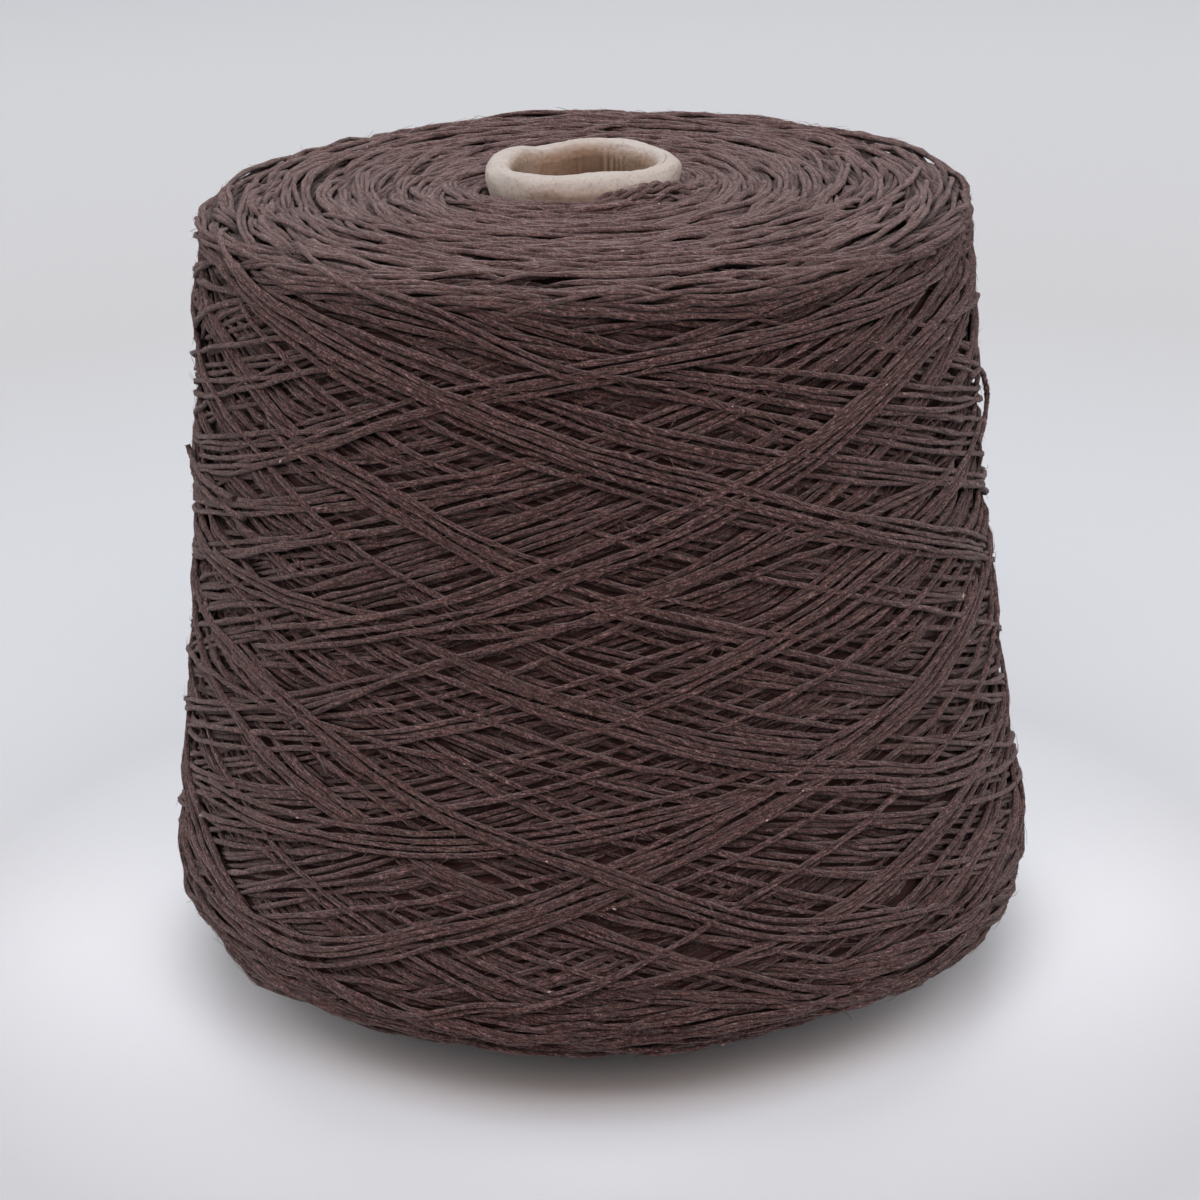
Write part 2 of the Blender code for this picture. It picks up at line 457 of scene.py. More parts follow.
def resting_lifts(chart, line, radii):
    """The lift at which each sample of a line would rest on the pile."""
    contact = radii[:, None] * CONTACT_SHARE * np.sqrt(1 - ACROSS_CONTACT[None, :] ** 2)
    return (chart.pile[chart.cells(*line.across(radii, ACROSS_CONTACT))] + contact).max(1)


def strand_tops(lift, radii):
    """The heights of a strand's upper surface, across it."""
    return lift[:, None] + radii[:, None] * np.sqrt(1 - ACROSS_TOP[None, :] ** 2)


def stamp(chart, line, lift, radii):
    """Adds a stretch's upper surface to the pile."""
    fine = np.arange(0, len(lift) - 1, STAMP_STEP)
    index = np.arange(len(lift))
    lift, radii = np.interp(fine, index, lift), np.interp(fine, index, radii)
    tops = strand_tops(lift, radii).ravel()
    column, row = (cells.ravel() for cells in chart.cells(*line.resampled(fine).across(radii, ACROSS_TOP)))
    order = np.argsort(tops)
    column, row, tops = column[order], row[order], tops[order]
    chart.pile[column, row] = np.maximum(chart.pile[column, row], tops)


def keep_turn(chart, turns, line, lift, radii, tone):
    stamp(chart, line, lift, radii)
    turns.append(Turn(chart, line, lift, radii, tone))
    chart.laid += len(lift)
    if chart.laid > SETTLE_EVERY:
        chart.settle()


def lay(chart, turns, azimuth, way, thickness, tone):
    """Lays one stretch: it rests on what is under it, and its tension carries it over the hollows."""
    line = Line(chart, azimuth, way)
    radii = thickness * np.ones_like(azimuth)
    need = resting_lifts(chart, line, radii)
    bend = line.round_unit**2 * chart.at_way(chart.bend_round, way)
    bend += line.down_unit**2 * chart.at_way(chart.bend_down, way)
    bend = np.clip(bend, FLATTEST_BEND, SHARPEST_BEND)
    x = np.cumsum(line.length)
    fall = np.cumsum(np.cumsum(bend * line.length) * line.length)
    lift = smooth_line(upper_hull(x, need - fall) + fall, LIFT_EASE) - SINK
    lift -= RIDE_PRESS * np.maximum(lift - HIGHEST_RIDE, 0)
    from_end = np.minimum(x - x[0], x[-1] - x)
    dive = np.clip(1 - from_end / DIVE_LENGTH, 0, 1) ** 2
    lift -= dive * (lift + DIVE_DEPTH)
    keep_turn(chart, turns, line, lift, radii, tone)


def lay_arc(chart, turns, azimuth, way, thickness, tone, dive, weave):
    """Lays the top of a turn-round: it comes up out of the winding, weaves over others, and goes back in."""
    line = Line(chart, azimuth, way)
    radii = thickness * np.ones_like(azimuth)
    need = resting_lifts(chart, line, radii)
    x = np.cumsum(line.length)
    drop = dive * (2 * (x - x.mean()) / (x[-1] - x[0])) ** 2
    quarter = len(x) // 4
    crown = np.percentile((need + drop)[quarter:-quarter], ARC_REST)
    lift = np.minimum(crown, HIGHEST_RIDE) - SINK - drop + weave
    keep_turn(chart, turns, line, lift, radii, tone)


def traverse_course(first_turn, last_turn, slope, turn_zone, tail):
    """The way along the section against the distance round, from one turning point to the other.

    Near a turning point the course is a parabola, so the yarn runs nearly level there. Past both it goes on
    for the tail, on its way back.
    """
    down = last_turn > first_turn
    span = abs(last_turn - first_turn)
    zone = min(turn_zone, span / LEAST_ZONES)
    reach = 2 * zone / slope
    straight = (span - 2 * zone) / slope
    x = np.arange(-tail, 2 * reach + straight + tail, SAMPLE)
    end = 2 * reach + straight
    from_first = np.where(x < reach, slope**2 * x**2 / (4 * zone), zone + slope * (x - reach))
    from_last = slope**2 * (end - x) ** 2 / (4 * zone)
    way = np.where(x < reach + straight, from_first, span - from_last)
    return x, first_turn + way if down else first_turn - way


def round_course(chart, start, x, way):
    """The azimuth at each sample of a course that starts at that azimuth."""
    step = np.diff(x, prepend=x[0])
    return start + np.cumsum(step / chart.at_way(chart.radius, way))


# ----------------------------------------------------------------------------------------------------
# The pattern of the winding
# ----------------------------------------------------------------------------------------------------

# Where the traverses turn round, past the side's ends: the mean way and its spread.
HEAD_TURN = (-3 * MM, 2.6 * MM)
FOOT_TURN = (4 * MM, 3.4 * MM)
TURN_ZONE = 13 * MM
TAIL = 46 * MM

# How the traverses vary: the share that turns back part of the way and how far it gets, the factors on the
# wind angle, and the number of turns side by side, with the pitch between them.
EARLY_RETURNS = 0.07
RETURN_SHARES = (0.35, 0.85)
ANGLE_FACTORS = (0.78, 1.2)
FIRST_BUNDLES = (1, 1, 2, 2, 3)
LATE_BUNDLES = (1, 1, 2, 2, 3, 4)
LATE_SHARE = 0.45
SPACINGS = (1.05, 1.4)
SPACING_UNIT = 1.10 * MM
FRONT_SPACING_UNIT = 0.92 * MM

# How strands drift from their course: (reach, size), shared by a bundle, and each strand's own.
BUNDLE_DRIFT = (90 * MM, 1.3 * MM)
STRAND_DRIFT = (42 * MM, 0.75 * MM)
STRAND_WAVER = (8 * MM, 0.19 * MM)
FRONT_DRIFT = (40 * MM, 0.60 * MM)
FRONT_WAVER = (8 * MM, 0.17 * MM)
ARC_DRIFT = (12 * MM, 0.42 * MM)
ARC_WAVER = (6 * MM, 0.14 * MM)
ARC_WEAVE = (8 * MM, 0.42 * MM)

# The bundles that lie on top at the front: the number of turns side by side, the pitch between them in spacing
# units, and the heights in mm that they pass at some azimuths in degrees, to where they leave the front.
FRONT_COLUMNS = ("turns", "spacing", "course")
FRONT_BUNDLES = (
    (4, 1.52, ((-60, 53), (-40, 56), (-20, 59), (0, 64), (20, 69), (35, 73))),
    (3, 1.45, ((-70, 100), (-45, 100), (-20, 101), (0, 105), (30, 113), (60, 116))),
    (5, 1.39, ((-20, 94), (0, 85), (20, 75), (28, 72))),
    (4, 1.58, ((3, 86), (20, 94), (40, 103), (68, 114))),
    (4, 1.39, ((-70, 118), (-50, 126), (-20, 143), (0, 149), (30, 153), (60, 155))),
    (5, 1.45, ((-42, 130), (-30, 125), (-10, 113), (0, 108), (18, 99))),
    (2, 1.72, ((-40, 80), (-20, 94), (0, 104), (27, 117))),
    (5, 1.39, ((-10, 45), (10, 58), (30, 69), (50, 78), (70, 89))),
    (5, 1.45, ((-40, 95), (-20, 104), (0, 115), (30, 130), (50, 142), (70, 148))),
    (4, 1.52, ((-60, 31), (-40, 31), (-20, 42), (0, 53), (15, 61))),
    (3, 1.65, ((10, 34), (30, 40), (50, 49), (68, 55))),
    (5, 1.45, ((28, 68), (40, 63), (50, 58), (64, 54))),
    (4, 1.39, ((-62, 160), (-40, 152), (-18, 143), (0, 134), (20, 124), (45, 110), (70, 96))),
    (3, 1.45, ((-70, 88), (-45, 80), (-20, 65), (0, 55), (20, 41), (40, 35))),
    (2, 1.58, ((-35, 164), (-20, 159), (-8, 152), (6, 147))),
)

# How a strand's thickness varies from one turn to the next.
THICKNESSES = (0.93, 1.07)


def yarn_thickness(settings, rng):
    return settings.strand_width / 2 * rng.uniform(*THICKNESSES)


def lay_traverse(chart, turns, settings, rng, bundle):
    """Lays one bundle of side by side turns from one turning point to the other."""
    slope = math.tan(bundle["angle"])
    x, way = traverse_course(bundle["from"], bundle["to"], slope, TURN_ZONE, TAIL)
    shared = wander(len(x), *BUNDLE_DRIFT, rng)
    for i in range(bundle["turns"]):
        own = wander(len(x), *STRAND_DRIFT, rng) + wander(len(x), *STRAND_WAVER, rng)
        off = (i - (bundle["turns"] - 1) / 2) * bundle["spacing"] * SPACING_UNIT
        azimuth = round_course(chart, bundle["azimuth"], x, way)
        azimuth += off / (slope * chart.at_way(chart.radius, way))
        lay(chart, turns, azimuth, way + shared + own, yarn_thickness(settings, rng), rng.random())


def random_bundle(chart, settings, rng, turn_counts):
    """A bundle of the winding's body. A few turn back part of the way down."""
    head = chart.side_start + rng.normal(*HEAD_TURN)
    foot = chart.side_end + rng.normal(*FOOT_TURN)
    if rng.random() < EARLY_RETURNS:
        share = rng.uniform(*RETURN_SHARES)
        if rng.random() < 0.5:
            head = head + (foot - head) * (1 - share)
        else:
            foot = head + (foot - head) * share
    ends = (head, foot) if rng.random() < 0.5 else (foot, head)
    return {
        "from": ends[0],
        "to": ends[1],
        "angle": settings.wind_angle * rng.uniform(*ANGLE_FACTORS),
        "azimuth": rng.uniform(0, 2 * math.pi),
        "turns": int(rng.choice(turn_counts)),
        "spacing": rng.uniform(*SPACINGS),
    }


def lay_body(chart, turns, settings, rng):
    """The turns under the front bundles, from all round: close ones first, and wider bundles later."""
    count = 0
    while count < settings.side_turns:
        late = count > LATE_SHARE * settings.side_turns
        bundle = random_bundle(chart, settings, rng, LATE_BUNDLES if late else FIRST_BUNDLES)
        count += bundle["turns"]
        lay_traverse(chart, turns, settings, rng, bundle)


def spline_through(knots, samples):
    """A smooth line through knots (azimuth, value), at the samples."""
    x = np.array([k[0] for k in knots], float)
    y = np.array([k[1] for k in knots], float)
    slope = np.gradient(y, x)
    left = np.clip(np.searchsorted(x, samples) - 1, 0, len(x) - 2)
    width = x[left + 1] - x[left]
    t = (samples - x[left]) / width
    a = 2 * t**3 - 3 * t**2 + 1
    b = t**3 - 2 * t**2 + t
    c = -2 * t**3 + 3 * t**2
    d = t**3 - t**2
    return a * y[left] + b * width * slope[left] + c * y[left + 1] + d * width * slope[left + 1]


FRONT_PAST = 9.0
FRONT_STEP = 0.66
FRONT_LOW = 20 * MM
FRONT_HIGH = 160 * MM


def lay_front(chart, turns, settings, rng):
    """The bundles on top at the front, each going on past its course's ends before it dips under."""
    for row in FRONT_BUNDLES:
        bundle = dict(zip(FRONT_COLUMNS, row))
        knots = list(bundle["course"])
        first_slope = (knots[1][1] - knots[0][1]) / (knots[1][0] - knots[0][0])
        last_slope = (knots[-1][1] - knots[-2][1]) / (knots[-1][0] - knots[-2][0])
        knots.insert(0, (knots[0][0] - FRONT_PAST, knots[0][1] - FRONT_PAST * first_slope))
        knots.append((knots[-1][0] + FRONT_PAST, knots[-1][1] + FRONT_PAST * last_slope))
        for i in range(bundle["turns"]):
            ends = rng.uniform(-FRONT_PAST, FRONT_PAST, 2)
            degrees = np.arange(knots[0][0] + ends[0], knots[-1][0] + ends[1], FRONT_STEP)
            heights = spline_through(knots, degrees) * MM
            own = wander(len(degrees), *FRONT_DRIFT, rng) + wander(len(degrees), *FRONT_WAVER, rng)
            off = (i - (bundle["turns"] - 1) / 2) * bundle["spacing"] * FRONT_SPACING_UNIT
            way = chart.way_at_height(np.clip(heights, FRONT_LOW, FRONT_HIGH)) + own + off
            way -= np.maximum(heights - FRONT_HIGH, 0)
            lay(chart, turns, np.radians(degrees), way, yarn_thickness(settings, rng), rng.random())


ARC_LENGTHS = (30 * MM, 84 * MM)
ARC_DIVES = (2.0 * MM, 5.5 * MM)
LONGEST_ARC = 2.4
ARC_LEAN = 0.11
ARC_STRANDS = (1, 2, 2, 3)
ARC_SPACING = 0.9

# The zones of turn-rounds: the margins of the head and the underside, and the band at the foot's edge.
HEAD_MARGINS = (0.3 * MM, 1 * MM)
FOOT_MARGIN = 2 * MM
FOOT_EDGE = (-5 * MM, 16 * MM)


def lay_end_arcs(chart, turns, settings, rng, ways, count):
    """The turn-rounds that show on an end face, from edge to edge, as close together at every radius."""
    widest = chart.at_way(chart.radius, np.linspace(*ways, 20)).max()
    laid = 0
    while laid < count:
        way = rng.uniform(*ways)
        radius = chart.at_way(chart.radius, way)
        if rng.random() > radius / widest:
            continue
        length = min(rng.uniform(*ARC_LENGTHS), LONGEST_ARC * radius)
        x = np.arange(-length / 2, length / 2, SAMPLE)
        shared = way + x * rng.normal(0, ARC_LEAN) + wander(len(x), *ARC_DRIFT, rng)
        azimuth = rng.uniform(0, 2 * math.pi) + x / radius
        dive = rng.uniform(*ARC_DIVES)
        strands = int(rng.choice(ARC_STRANDS))
        for i in range(strands):
            off = (i - (strands - 1) / 2) * ARC_SPACING * settings.strand_width
            own = np.clip(shared + off + wander(len(x), *ARC_WAVER, rng), 0, chart.length)
            weave = wander(len(x), *ARC_WEAVE, rng)
            lay_arc(chart, turns, azimuth, own, yarn_thickness(settings, rng), rng.random(), dive, weave)
        laid += strands


def wind(chart, settings, rng):
    """Winds the whole package and returns its turns in the order in which they were laid."""
    turns = []
    head = (HEAD_MARGINS[0], chart.side_start - HEAD_MARGINS[1])
    foot = (chart.side_end + FOOT_MARGIN, chart.length)
    foot_edge = tuple(chart.side_end + off for off in FOOT_EDGE)
    lay_end_arcs(chart, turns, settings, rng, head, settings.head_arcs // 2)
    lay_end_arcs(chart, turns, settings, rng, foot, settings.foot_arcs)
    lay_body(chart, turns, settings, rng)
    lay_end_arcs(chart, turns, settings, rng, head, settings.head_arcs // 2)
    lay_end_arcs(chart, turns, settings, rng, foot_edge, settings.foot_arcs // 3)
    lay_front(chart, turns, settings, rng)
    return turns


# ----------------------------------------------------------------------------------------------------
# Meshes
# ----------------------------------------------------------------------------------------------------


def new_object(name, mesh, finish):
    mesh.materials.append(finish)
    mesh.shade_smooth()
    made = bpy.data.objects.new(name, mesh)
    bpy.context.scene.collection.objects.link(made)
    return made


def mesh_from_polygons(name, points, corners, totals):
    """A mesh from flat arrays: the points, the corner of each polygon, and how many corners each has."""
    mesh = bpy.data.meshes.new(name)
    mesh.vertices.add(len(points))
    mesh.vertices.foreach_set("co", points.astype(np.float32).ravel())
    mesh.loops.add(len(corners))
    mesh.loops.foreach_set("vertex_index", corners.astype(np.int32))
    mesh.polygons.add(len(totals))
    starts = np.concatenate([[0], np.cumsum(totals)[:-1]])
    mesh.polygons.foreach_set("loop_start", starts.astype(np.int32))
    mesh.polygons.foreach_set("loop_total", totals.astype(np.int32))
    mesh.update(calc_edges=True)
    mesh.validate()
    return mesh


def keep_values(mesh, values):
    """Keeps named values at the mesh's points, for its finish to read."""
    for title, numbers in values.items():
        attribute = mesh.attributes.new(title, "FLOAT", "POINT")
        attribute.data.foreach_set("value", numbers.astype(np.float32).ravel())


PLY_PITCH = 20 * MM
PLY_RELIEF = 0.10
UNEVEN = 0.10
LEAST_LENGTH = 1e-12


def ring_directions(centres, normals):
    """The unit directions to the side and up at each ring of a tube."""
    tangents = np.gradient(centres, axis=0)
    tangents /= np.linalg.norm(tangents, axis=1)[:, None] + LEAST_LENGTH
    aside = np.cross(tangents, normals)
    aside /= np.linalg.norm(aside, axis=1)[:, None] + LEAST_LENGTH
    return aside, np.cross(aside, tangents)


class Tubes:
    """Collects closed tubes of yarn, and makes one mesh of them."""

    def __init__(self, sides):
        self.sides = sides
        self.rng = np.random.default_rng(sides)
        self.points, self.corners, self.totals, self.uv = [], [], [], []
        self.values = {"tone": [], "depth": [], "top": []}
        self.count = 0

    def triangles(self):
        return int(sum((totals - 2).sum() for totals in self.totals))

    def add(self, centres, normals, radii, tone, depth, start):
        """Adds a tube. Its uv begins at the start, in metres along the yarn."""
        aside, up = ring_directions(centres, normals)
        steps = np.linalg.norm(np.diff(centres, axis=0), axis=1)
        along = start + np.concatenate([[0], np.cumsum(steps)])
        angles = (2 * math.pi * np.arange(self.sides) / self.sides - math.pi / 2)[None, :]
        plies = 1 + PLY_RELIEF * np.cos(2 * (angles + 2 * math.pi * along[:, None] / PLY_PITCH))
        uneven = 1 + UNEVEN * self.rng.normal(size=(len(centres), self.sides))
        out = (radii[:, None] * plies * uneven)[:, :, None]
        points = centres[:, None, :] + out * (
            np.cos(angles)[:, :, None] * aside[:, None, :] + np.sin(angles)[:, :, None] * up[:, None, :]
        )
        self.points.append(points.reshape(-1, 3))
        self.add_faces(along)
        self.values["tone"].append(np.full(points.shape[0] * self.sides, tone))
        self.values["depth"].append(np.repeat(depth, self.sides))
        self.values["top"].append(np.repeat(np.clip(normals[:, 2], 0, 1), self.sides))
        self.count += points.shape[0] * self.sides

    def add_faces(self, along):
        """The faces between a tube's rings and its two caps, with their uv."""
        sides, rings = self.sides, len(along)
        ring = np.arange(rings - 1)[:, None] * sides
        side = np.arange(sides)[None, :]
        after = (side + 1) % sides
        quads = np.stack([ring + side, ring + after, ring + after + sides, ring + side + sides], -1)
        first = np.arange(sides)[::-1]
        last = np.arange(sides) + (rings - 1) * sides
        self.corners.append(np.concatenate([quads.ravel(), first, last]) + self.count)
        self.totals.append(np.concatenate([np.full((rings - 1) * sides, 4), [sides, sides]]))
        here, there = along[:-1, None] + 0 * side, along[1:, None] + 0 * side
        left = side + 0 * ring
        u = np.stack([here, here, there, there], -1)
        v = np.stack([left, left + 1, left + 1, left], -1) / sides
        caps = np.stack([np.repeat(along[[0, -1]], sides), np.zeros(2 * sides)], -1)
        self.uv.append(np.concatenate([np.stack([u.ravel(), v.ravel()], -1), caps]))

    def mesh(self, name):
        parts = (np.concatenate(part) for part in (self.points, self.corners, self.totals))
        mesh = mesh_from_polygons(name, *parts)
        layer = mesh.uv_layers.new(name="along_the_yarn")
        layer.data.foreach_set("uv", np.concatenate(self.uv).astype(np.float32).ravel())
        keep_values(mesh, {title: np.concatenate(values) for title, values in self.values.items()})
        return mesh


TURNS_PER_PIECE = 190000
RING_STEP = 3.65
KEEP_AROUND = 4
SHORTEST_KEPT = 5
VISIBLE_MARGIN = 0.06 * MM
SPOTS_TO_SHOW = 3
TURN_SLUB = 0.10
LOOSE_SLUB = 0.08
TAPER_RINGS = 2
TAPER_LEAST = 0.3
TAPER_ROUNDNESS = 0.7
TAPER_SINK = 0.5 * MM
# Painted shade: a strand is darkened the deeper it lies under the top of the pile, and on the head also where
# it lies below its neighbours.
LIT_LIFT = 0.1 * MM
DARK_DROP = 3.8 * MM
SHADE_RISE = 0.15 * MM
SHADE_DROP = 0.8 * MM
SHADE_REACH = 5
HEAD_SHADE = 1.5


def rebuild_pile(chart, turns):
    """The pile's upper surface from the turns where they lie in the end."""
    chart.pile[:] = -DEEPEST
    for turn in turns:
        stamp(chart, turn.line, turn.lift, turn.radii)


def visible_stretches(chart, turn):
    """The stretches of a turn that show from outside, with a little more at both ends of each."""
    under = chart.pile[chart.cells(*turn.line.across(turn.radii, ACROSS_TOP))]
    shows = (strand_tops(turn.lift, turn.radii) > under - VISIBLE_MARGIN).sum(1) >= SPOTS_TO_SHOW
    near = np.convolve(shows, np.ones(2 * KEEP_AROUND + 1), mode="same") > 0
    edges = np.flatnonzero(np.diff(np.concatenate([[0], near.astype(int), [0]])))
    return [(a, b) for a, b in zip(edges[::2], edges[1::2]) if b - a >= SHORTEST_KEPT]


def stretch_of(chart, turn, first, last, level, rng):
    """One visible stretch as a tube: its centres, normals, radii and lift, and how much painted shade it gets.
    """
    count = max(4, round((last - first) / RING_STEP) + 1)
    at = np.linspace(first, last - 1, count)
    index = np.arange(len(turn.lift))
    lines = (turn.line.azimuth, turn.line.way, turn.lift, turn.radii)
    azimuth, way, lift, radii = (np.interp(at, index, line) for line in lines)
    lift = np.minimum(lift, HIGHEST_RIDE)
    from_end = np.minimum(np.arange(count), np.arange(count)[::-1])
    whole = np.minimum(from_end / TAPER_RINGS, 1)
    centres, normals = chart.place(azimuth, way, lift - (1 - whole) * TAPER_SINK)
    taper = TAPER_LEAST + (1 - TAPER_LEAST) * whole**TAPER_ROUNDNESS
    radii = radii * (1 + TURN_SLUB * rng.normal(size=count)) * taper
    around = level[chart.cells(azimuth, way)]
    shaded = np.clip((around + SHADE_RISE - lift - radii) / SHADE_DROP, 0, 1)
    depth = np.clip((LIT_LIFT - lift) / DARK_DROP, 0, 1) + HEAD_SHADE * np.clip(normals[:, 2], 0, 1) * shaded
    return centres, normals, radii, lift, depth


def turns_to_tubes(chart, turns, sides, rng, fuzz):
    """The turns' tubes, in a few groups that each stay under the limit of one piece."""
    groups = [Tubes(sides)]
    for turn in turns:
        turn.lift = chart.lift_now(turn)
    rebuild_pile(chart, turns)
    level = blurred(np.maximum(chart.pile, -DARK_DROP), SHADE_REACH, SHADE_REACH)
    for turn in turns:
        for first, last in visible_stretches(chart, turn):
            centres, normals, radii, lift, depth = stretch_of(chart, turn, first, last, level, rng)
            start = rng.uniform(0, 1) + first * SAMPLE
            groups[-1].add(centres, normals, radii, turn.tone, depth, start)
            fuzz.grow(centres, normals, radii, lift)
        if groups[-1].triangles() > TURNS_PER_PIECE:
            groups.append(Tubes(sides))
    return groups


HAIR_SIDES = 3
KNOT_SIDES = 5
HAIRS_PER_METRE = 190.0
HAIR_RADIUS = 0.05 * MM
HAIR_LENGTHS = (1.0 * MM, 3.8 * MM)
STRAIGHT_HAIR = 3.2 * MM
HAIR_THICKNESSES = (0.6, 1.3)
HAIR_LEAN = 0.7
HAIR_RISE = (0.12, 0.22)
HAIR_CURL = 0.5
HAIR_BEND = 0.45
HAIR_ROOT = 0.85
HAIR_ASIDE = 0.5
HAIR_MOST_SUNK = 0.8 * MM
KNOTS_PER_METRE = 1.3
KNOT_LENGTH = 0.55 * MM
KNOT_RADIUS = 0.17 * MM
KNOT_SIZES = (0.6, 1.3)
KNOT_LEAN = 0.6
KNOT_ROOT = 0.95
KNOT_ASIDE = 0.6
KNOT_OUTLINE = np.array([0.35, 1.0, 0.9, 0.3])


def directions_at(centres, normals, spot):
    """The unit directions along a tube, to its side and up at one of its rings."""
    tangent = centres[spot + 1] - centres[spot - 1]
    tangent /= np.linalg.norm(tangent)
    return tangent, np.cross(tangent, normals[spot]), normals[spot]


class Fuzz:
    """Loose fibres that stand off the yarn, and the small pale knots of fibre that sit on it."""

    def __init__(self, rng):
        self.rng = rng
        self.hairs = Tubes(HAIR_SIDES)
        self.knots = Tubes(KNOT_SIDES)

    def grow(self, centres, normals, radii, lift):
        """Grows fibres and knots along one tube."""
        length = np.linalg.norm(centres[-1] - centres[0])
        for _ in range(self.rng.poisson(length * HAIRS_PER_METRE)):
            spot = self.rng.integers(1, len(centres) - 1)
            if lift[spot] > -HAIR_MOST_SUNK:
                self.add_hair(centres, normals, radii, spot)
        for _ in range(self.rng.poisson(length * KNOTS_PER_METRE)):
            spot = self.rng.integers(1, len(centres) - 1)
            if lift[spot] > -HAIR_MOST_SUNK / 2:
                self.add_knot(centres, normals, radii, spot)

    def spot_on(self, centres, radii, spot, up, aside, root, most_aside):
        """A random place near the top of a tube, that far up and at most that far aside in its radii."""
        return centres[spot] + radii[spot] * (up * root + aside * self.rng.uniform(-most_aside, most_aside))

    def add_hair(self, centres, normals, radii, spot):
        tangent, aside, up = directions_at(centres, normals, spot)
        length = self.rng.uniform(*HAIR_LENGTHS)
        heading = self.rng.choice((-1, 1))
        lean = self.rng.normal(0, HAIR_LEAN)
        rise = abs(self.rng.normal(*HAIR_RISE))
        curl = self.rng.normal(0, HAIR_CURL)
        t = np.array([0, 1.0] if length < STRAIGHT_HAIR else [0, HAIR_BEND, 1.0])[:, None]
        start = self.spot_on(centres, radii, spot, up, aside, HAIR_ROOT, HAIR_ASIDE)
        forward = tangent * heading * (t - 0.2 * t**2)
        sideways = aside * (lean * t + curl * t**2) * 0.5
        line = start + length * (forward + sideways + up * rise * (t - 0.6 * t**2))
        thin = HAIR_RADIUS * self.rng.uniform(*HAIR_THICKNESSES) * np.interp(t[:, 0], (HAIR_BEND, 1), (1, 0.5))
        self.hairs.add(line, np.tile(up, (len(t), 1)), thin, 0.5, np.zeros(len(t)), 0.0)

    def add_knot(self, centres, normals, radii, spot):
        tangent, aside, up = directions_at(centres, normals, spot)
        along = tangent + aside * self.rng.normal(0, KNOT_LEAN)
        start = self.spot_on(centres, radii, spot, up, aside, KNOT_ROOT, KNOT_ASIDE)
        rings = len(KNOT_OUTLINE)
        t = np.linspace(-0.5, 0.5, rings)[:, None]
        size = self.rng.uniform(*KNOT_SIZES)
        line = start + along * t * KNOT_LENGTH * size
        thick = KNOT_RADIUS * size * KNOT_OUTLINE
        self.knots.add(line, np.tile(up, (rings, 1)), thick, 0.5, np.zeros(rings), 0.0)


# ----------------------------------------------------------------------------------------------------
# Loose ends
# ----------------------------------------------------------------------------------------------------

# Strands that have come off the side: (azimuth in degrees, height in mm, off the surface in mm) along each.
LOOSE_STRANDS = (
    ((70, 131, 0.2), (77, 129.5, 0.4), (81, 127.5, 0.7), (82.5, 124.5, 1.2), (82.8, 121.5, 1.3),
     (81.5, 119, 0.9), (78, 117, 0.4), (74, 115.5, 0.1)),
    ((-58, 115.5, 0.3), (-68, 114.6, 0.4), (-76, 114.2, 0.4), (-81, 114.0, 0.5), (-83, 114.4, 0.9),
     (-83.4, 115.6, 1.3)),
    ((-55, 112.6, 0.4), (-66, 112.4, 0.4), (-76, 112.2, 0.4), (-86, 112.4, 0.3), (-96, 113.0, 0.1)),
    ((60, 146.0, 0.2), (68, 145.0, 0.2), (75, 143.8, 0.3), (80, 142.8, 0.3), (84, 142.2, 0.4)),
)

# Strands that climb the foot of the paper cone's rim at the front right: the path that they twist along, as
# (azimuth in degrees, radius in mm, height in mm), and each strand's (first azimuth, last azimuth, out in mm,
# up in mm) from it.
CLIMB_PATH = (
    (-30, 25.0, 164.6), (-14, 23.0, 165.2), (2, 21.6, 166.6), (15, 21.1, 167.3), (30, 21.1, 167.8),
    (43, 21.3, 168.1), (58, 22.6, 167.1), (74, 25.0, 165.6), (90, 28.0, 164.8),
)
CLIMBING_STRANDS = (
    (-30, 84, 0.9, -1.9),
    (-26, 90, 1.9, -2.3),
    (-20, 88, 0.5, -1.0),
    (-14, 82, 1.6, -1.2),
    (-8, 76, 2.7, -1.9),
    (-4, 66, 0.1, 0.1),
    (0, 80, 0.9, -0.1),
    (4, 60, 0.1, 0.1),
    (-18, 70, 1.3, -0.6),
    (10, 92, 1.9, -0.9),
)
CLIMB_TWIST = 8.0 * MM
CLIMB_TWIST_REACH = 0.5 * MM
CLIMB_RADIUS = 22 * MM
CLIMB_STEP = 2.4
CLIMB_PHASE = 2.1
CLIMB_END = 14
CLIMB_END_SINK = 1.6 * MM
CLIMB_THINNING = 0.82
LOOSE_SIDES = 8


def smooth_path(knots, count):
    """Points spaced evenly by knot number along a smooth line through knots of any number of values."""
    knots = np.array(knots, float)
    at = np.linspace(0, len(knots) - 1.001, count)
    places = list(range(len(knots)))
    return np.stack([spline_through(list(zip(places, column)), at) for column in knots.T], -1)


def uneven_radii(count, settings, rng):
    return yarn_thickness(settings, rng) * (1 + LOOSE_SLUB * rng.normal(size=count))


def loose_strand(chart, knots, settings, rng):
    """One loose strand's centres, normals and radii."""
    azimuth, height, off = smooth_path(knots, 8 * len(knots)).T
    way = chart.way_at_height(height * MM)
    lift = off * MM + settings.strand_width / 2
    centres, normals = chart.place(np.radians(azimuth), way, lift)
    return centres, normals, uneven_radii(len(azimuth), settings, rng)


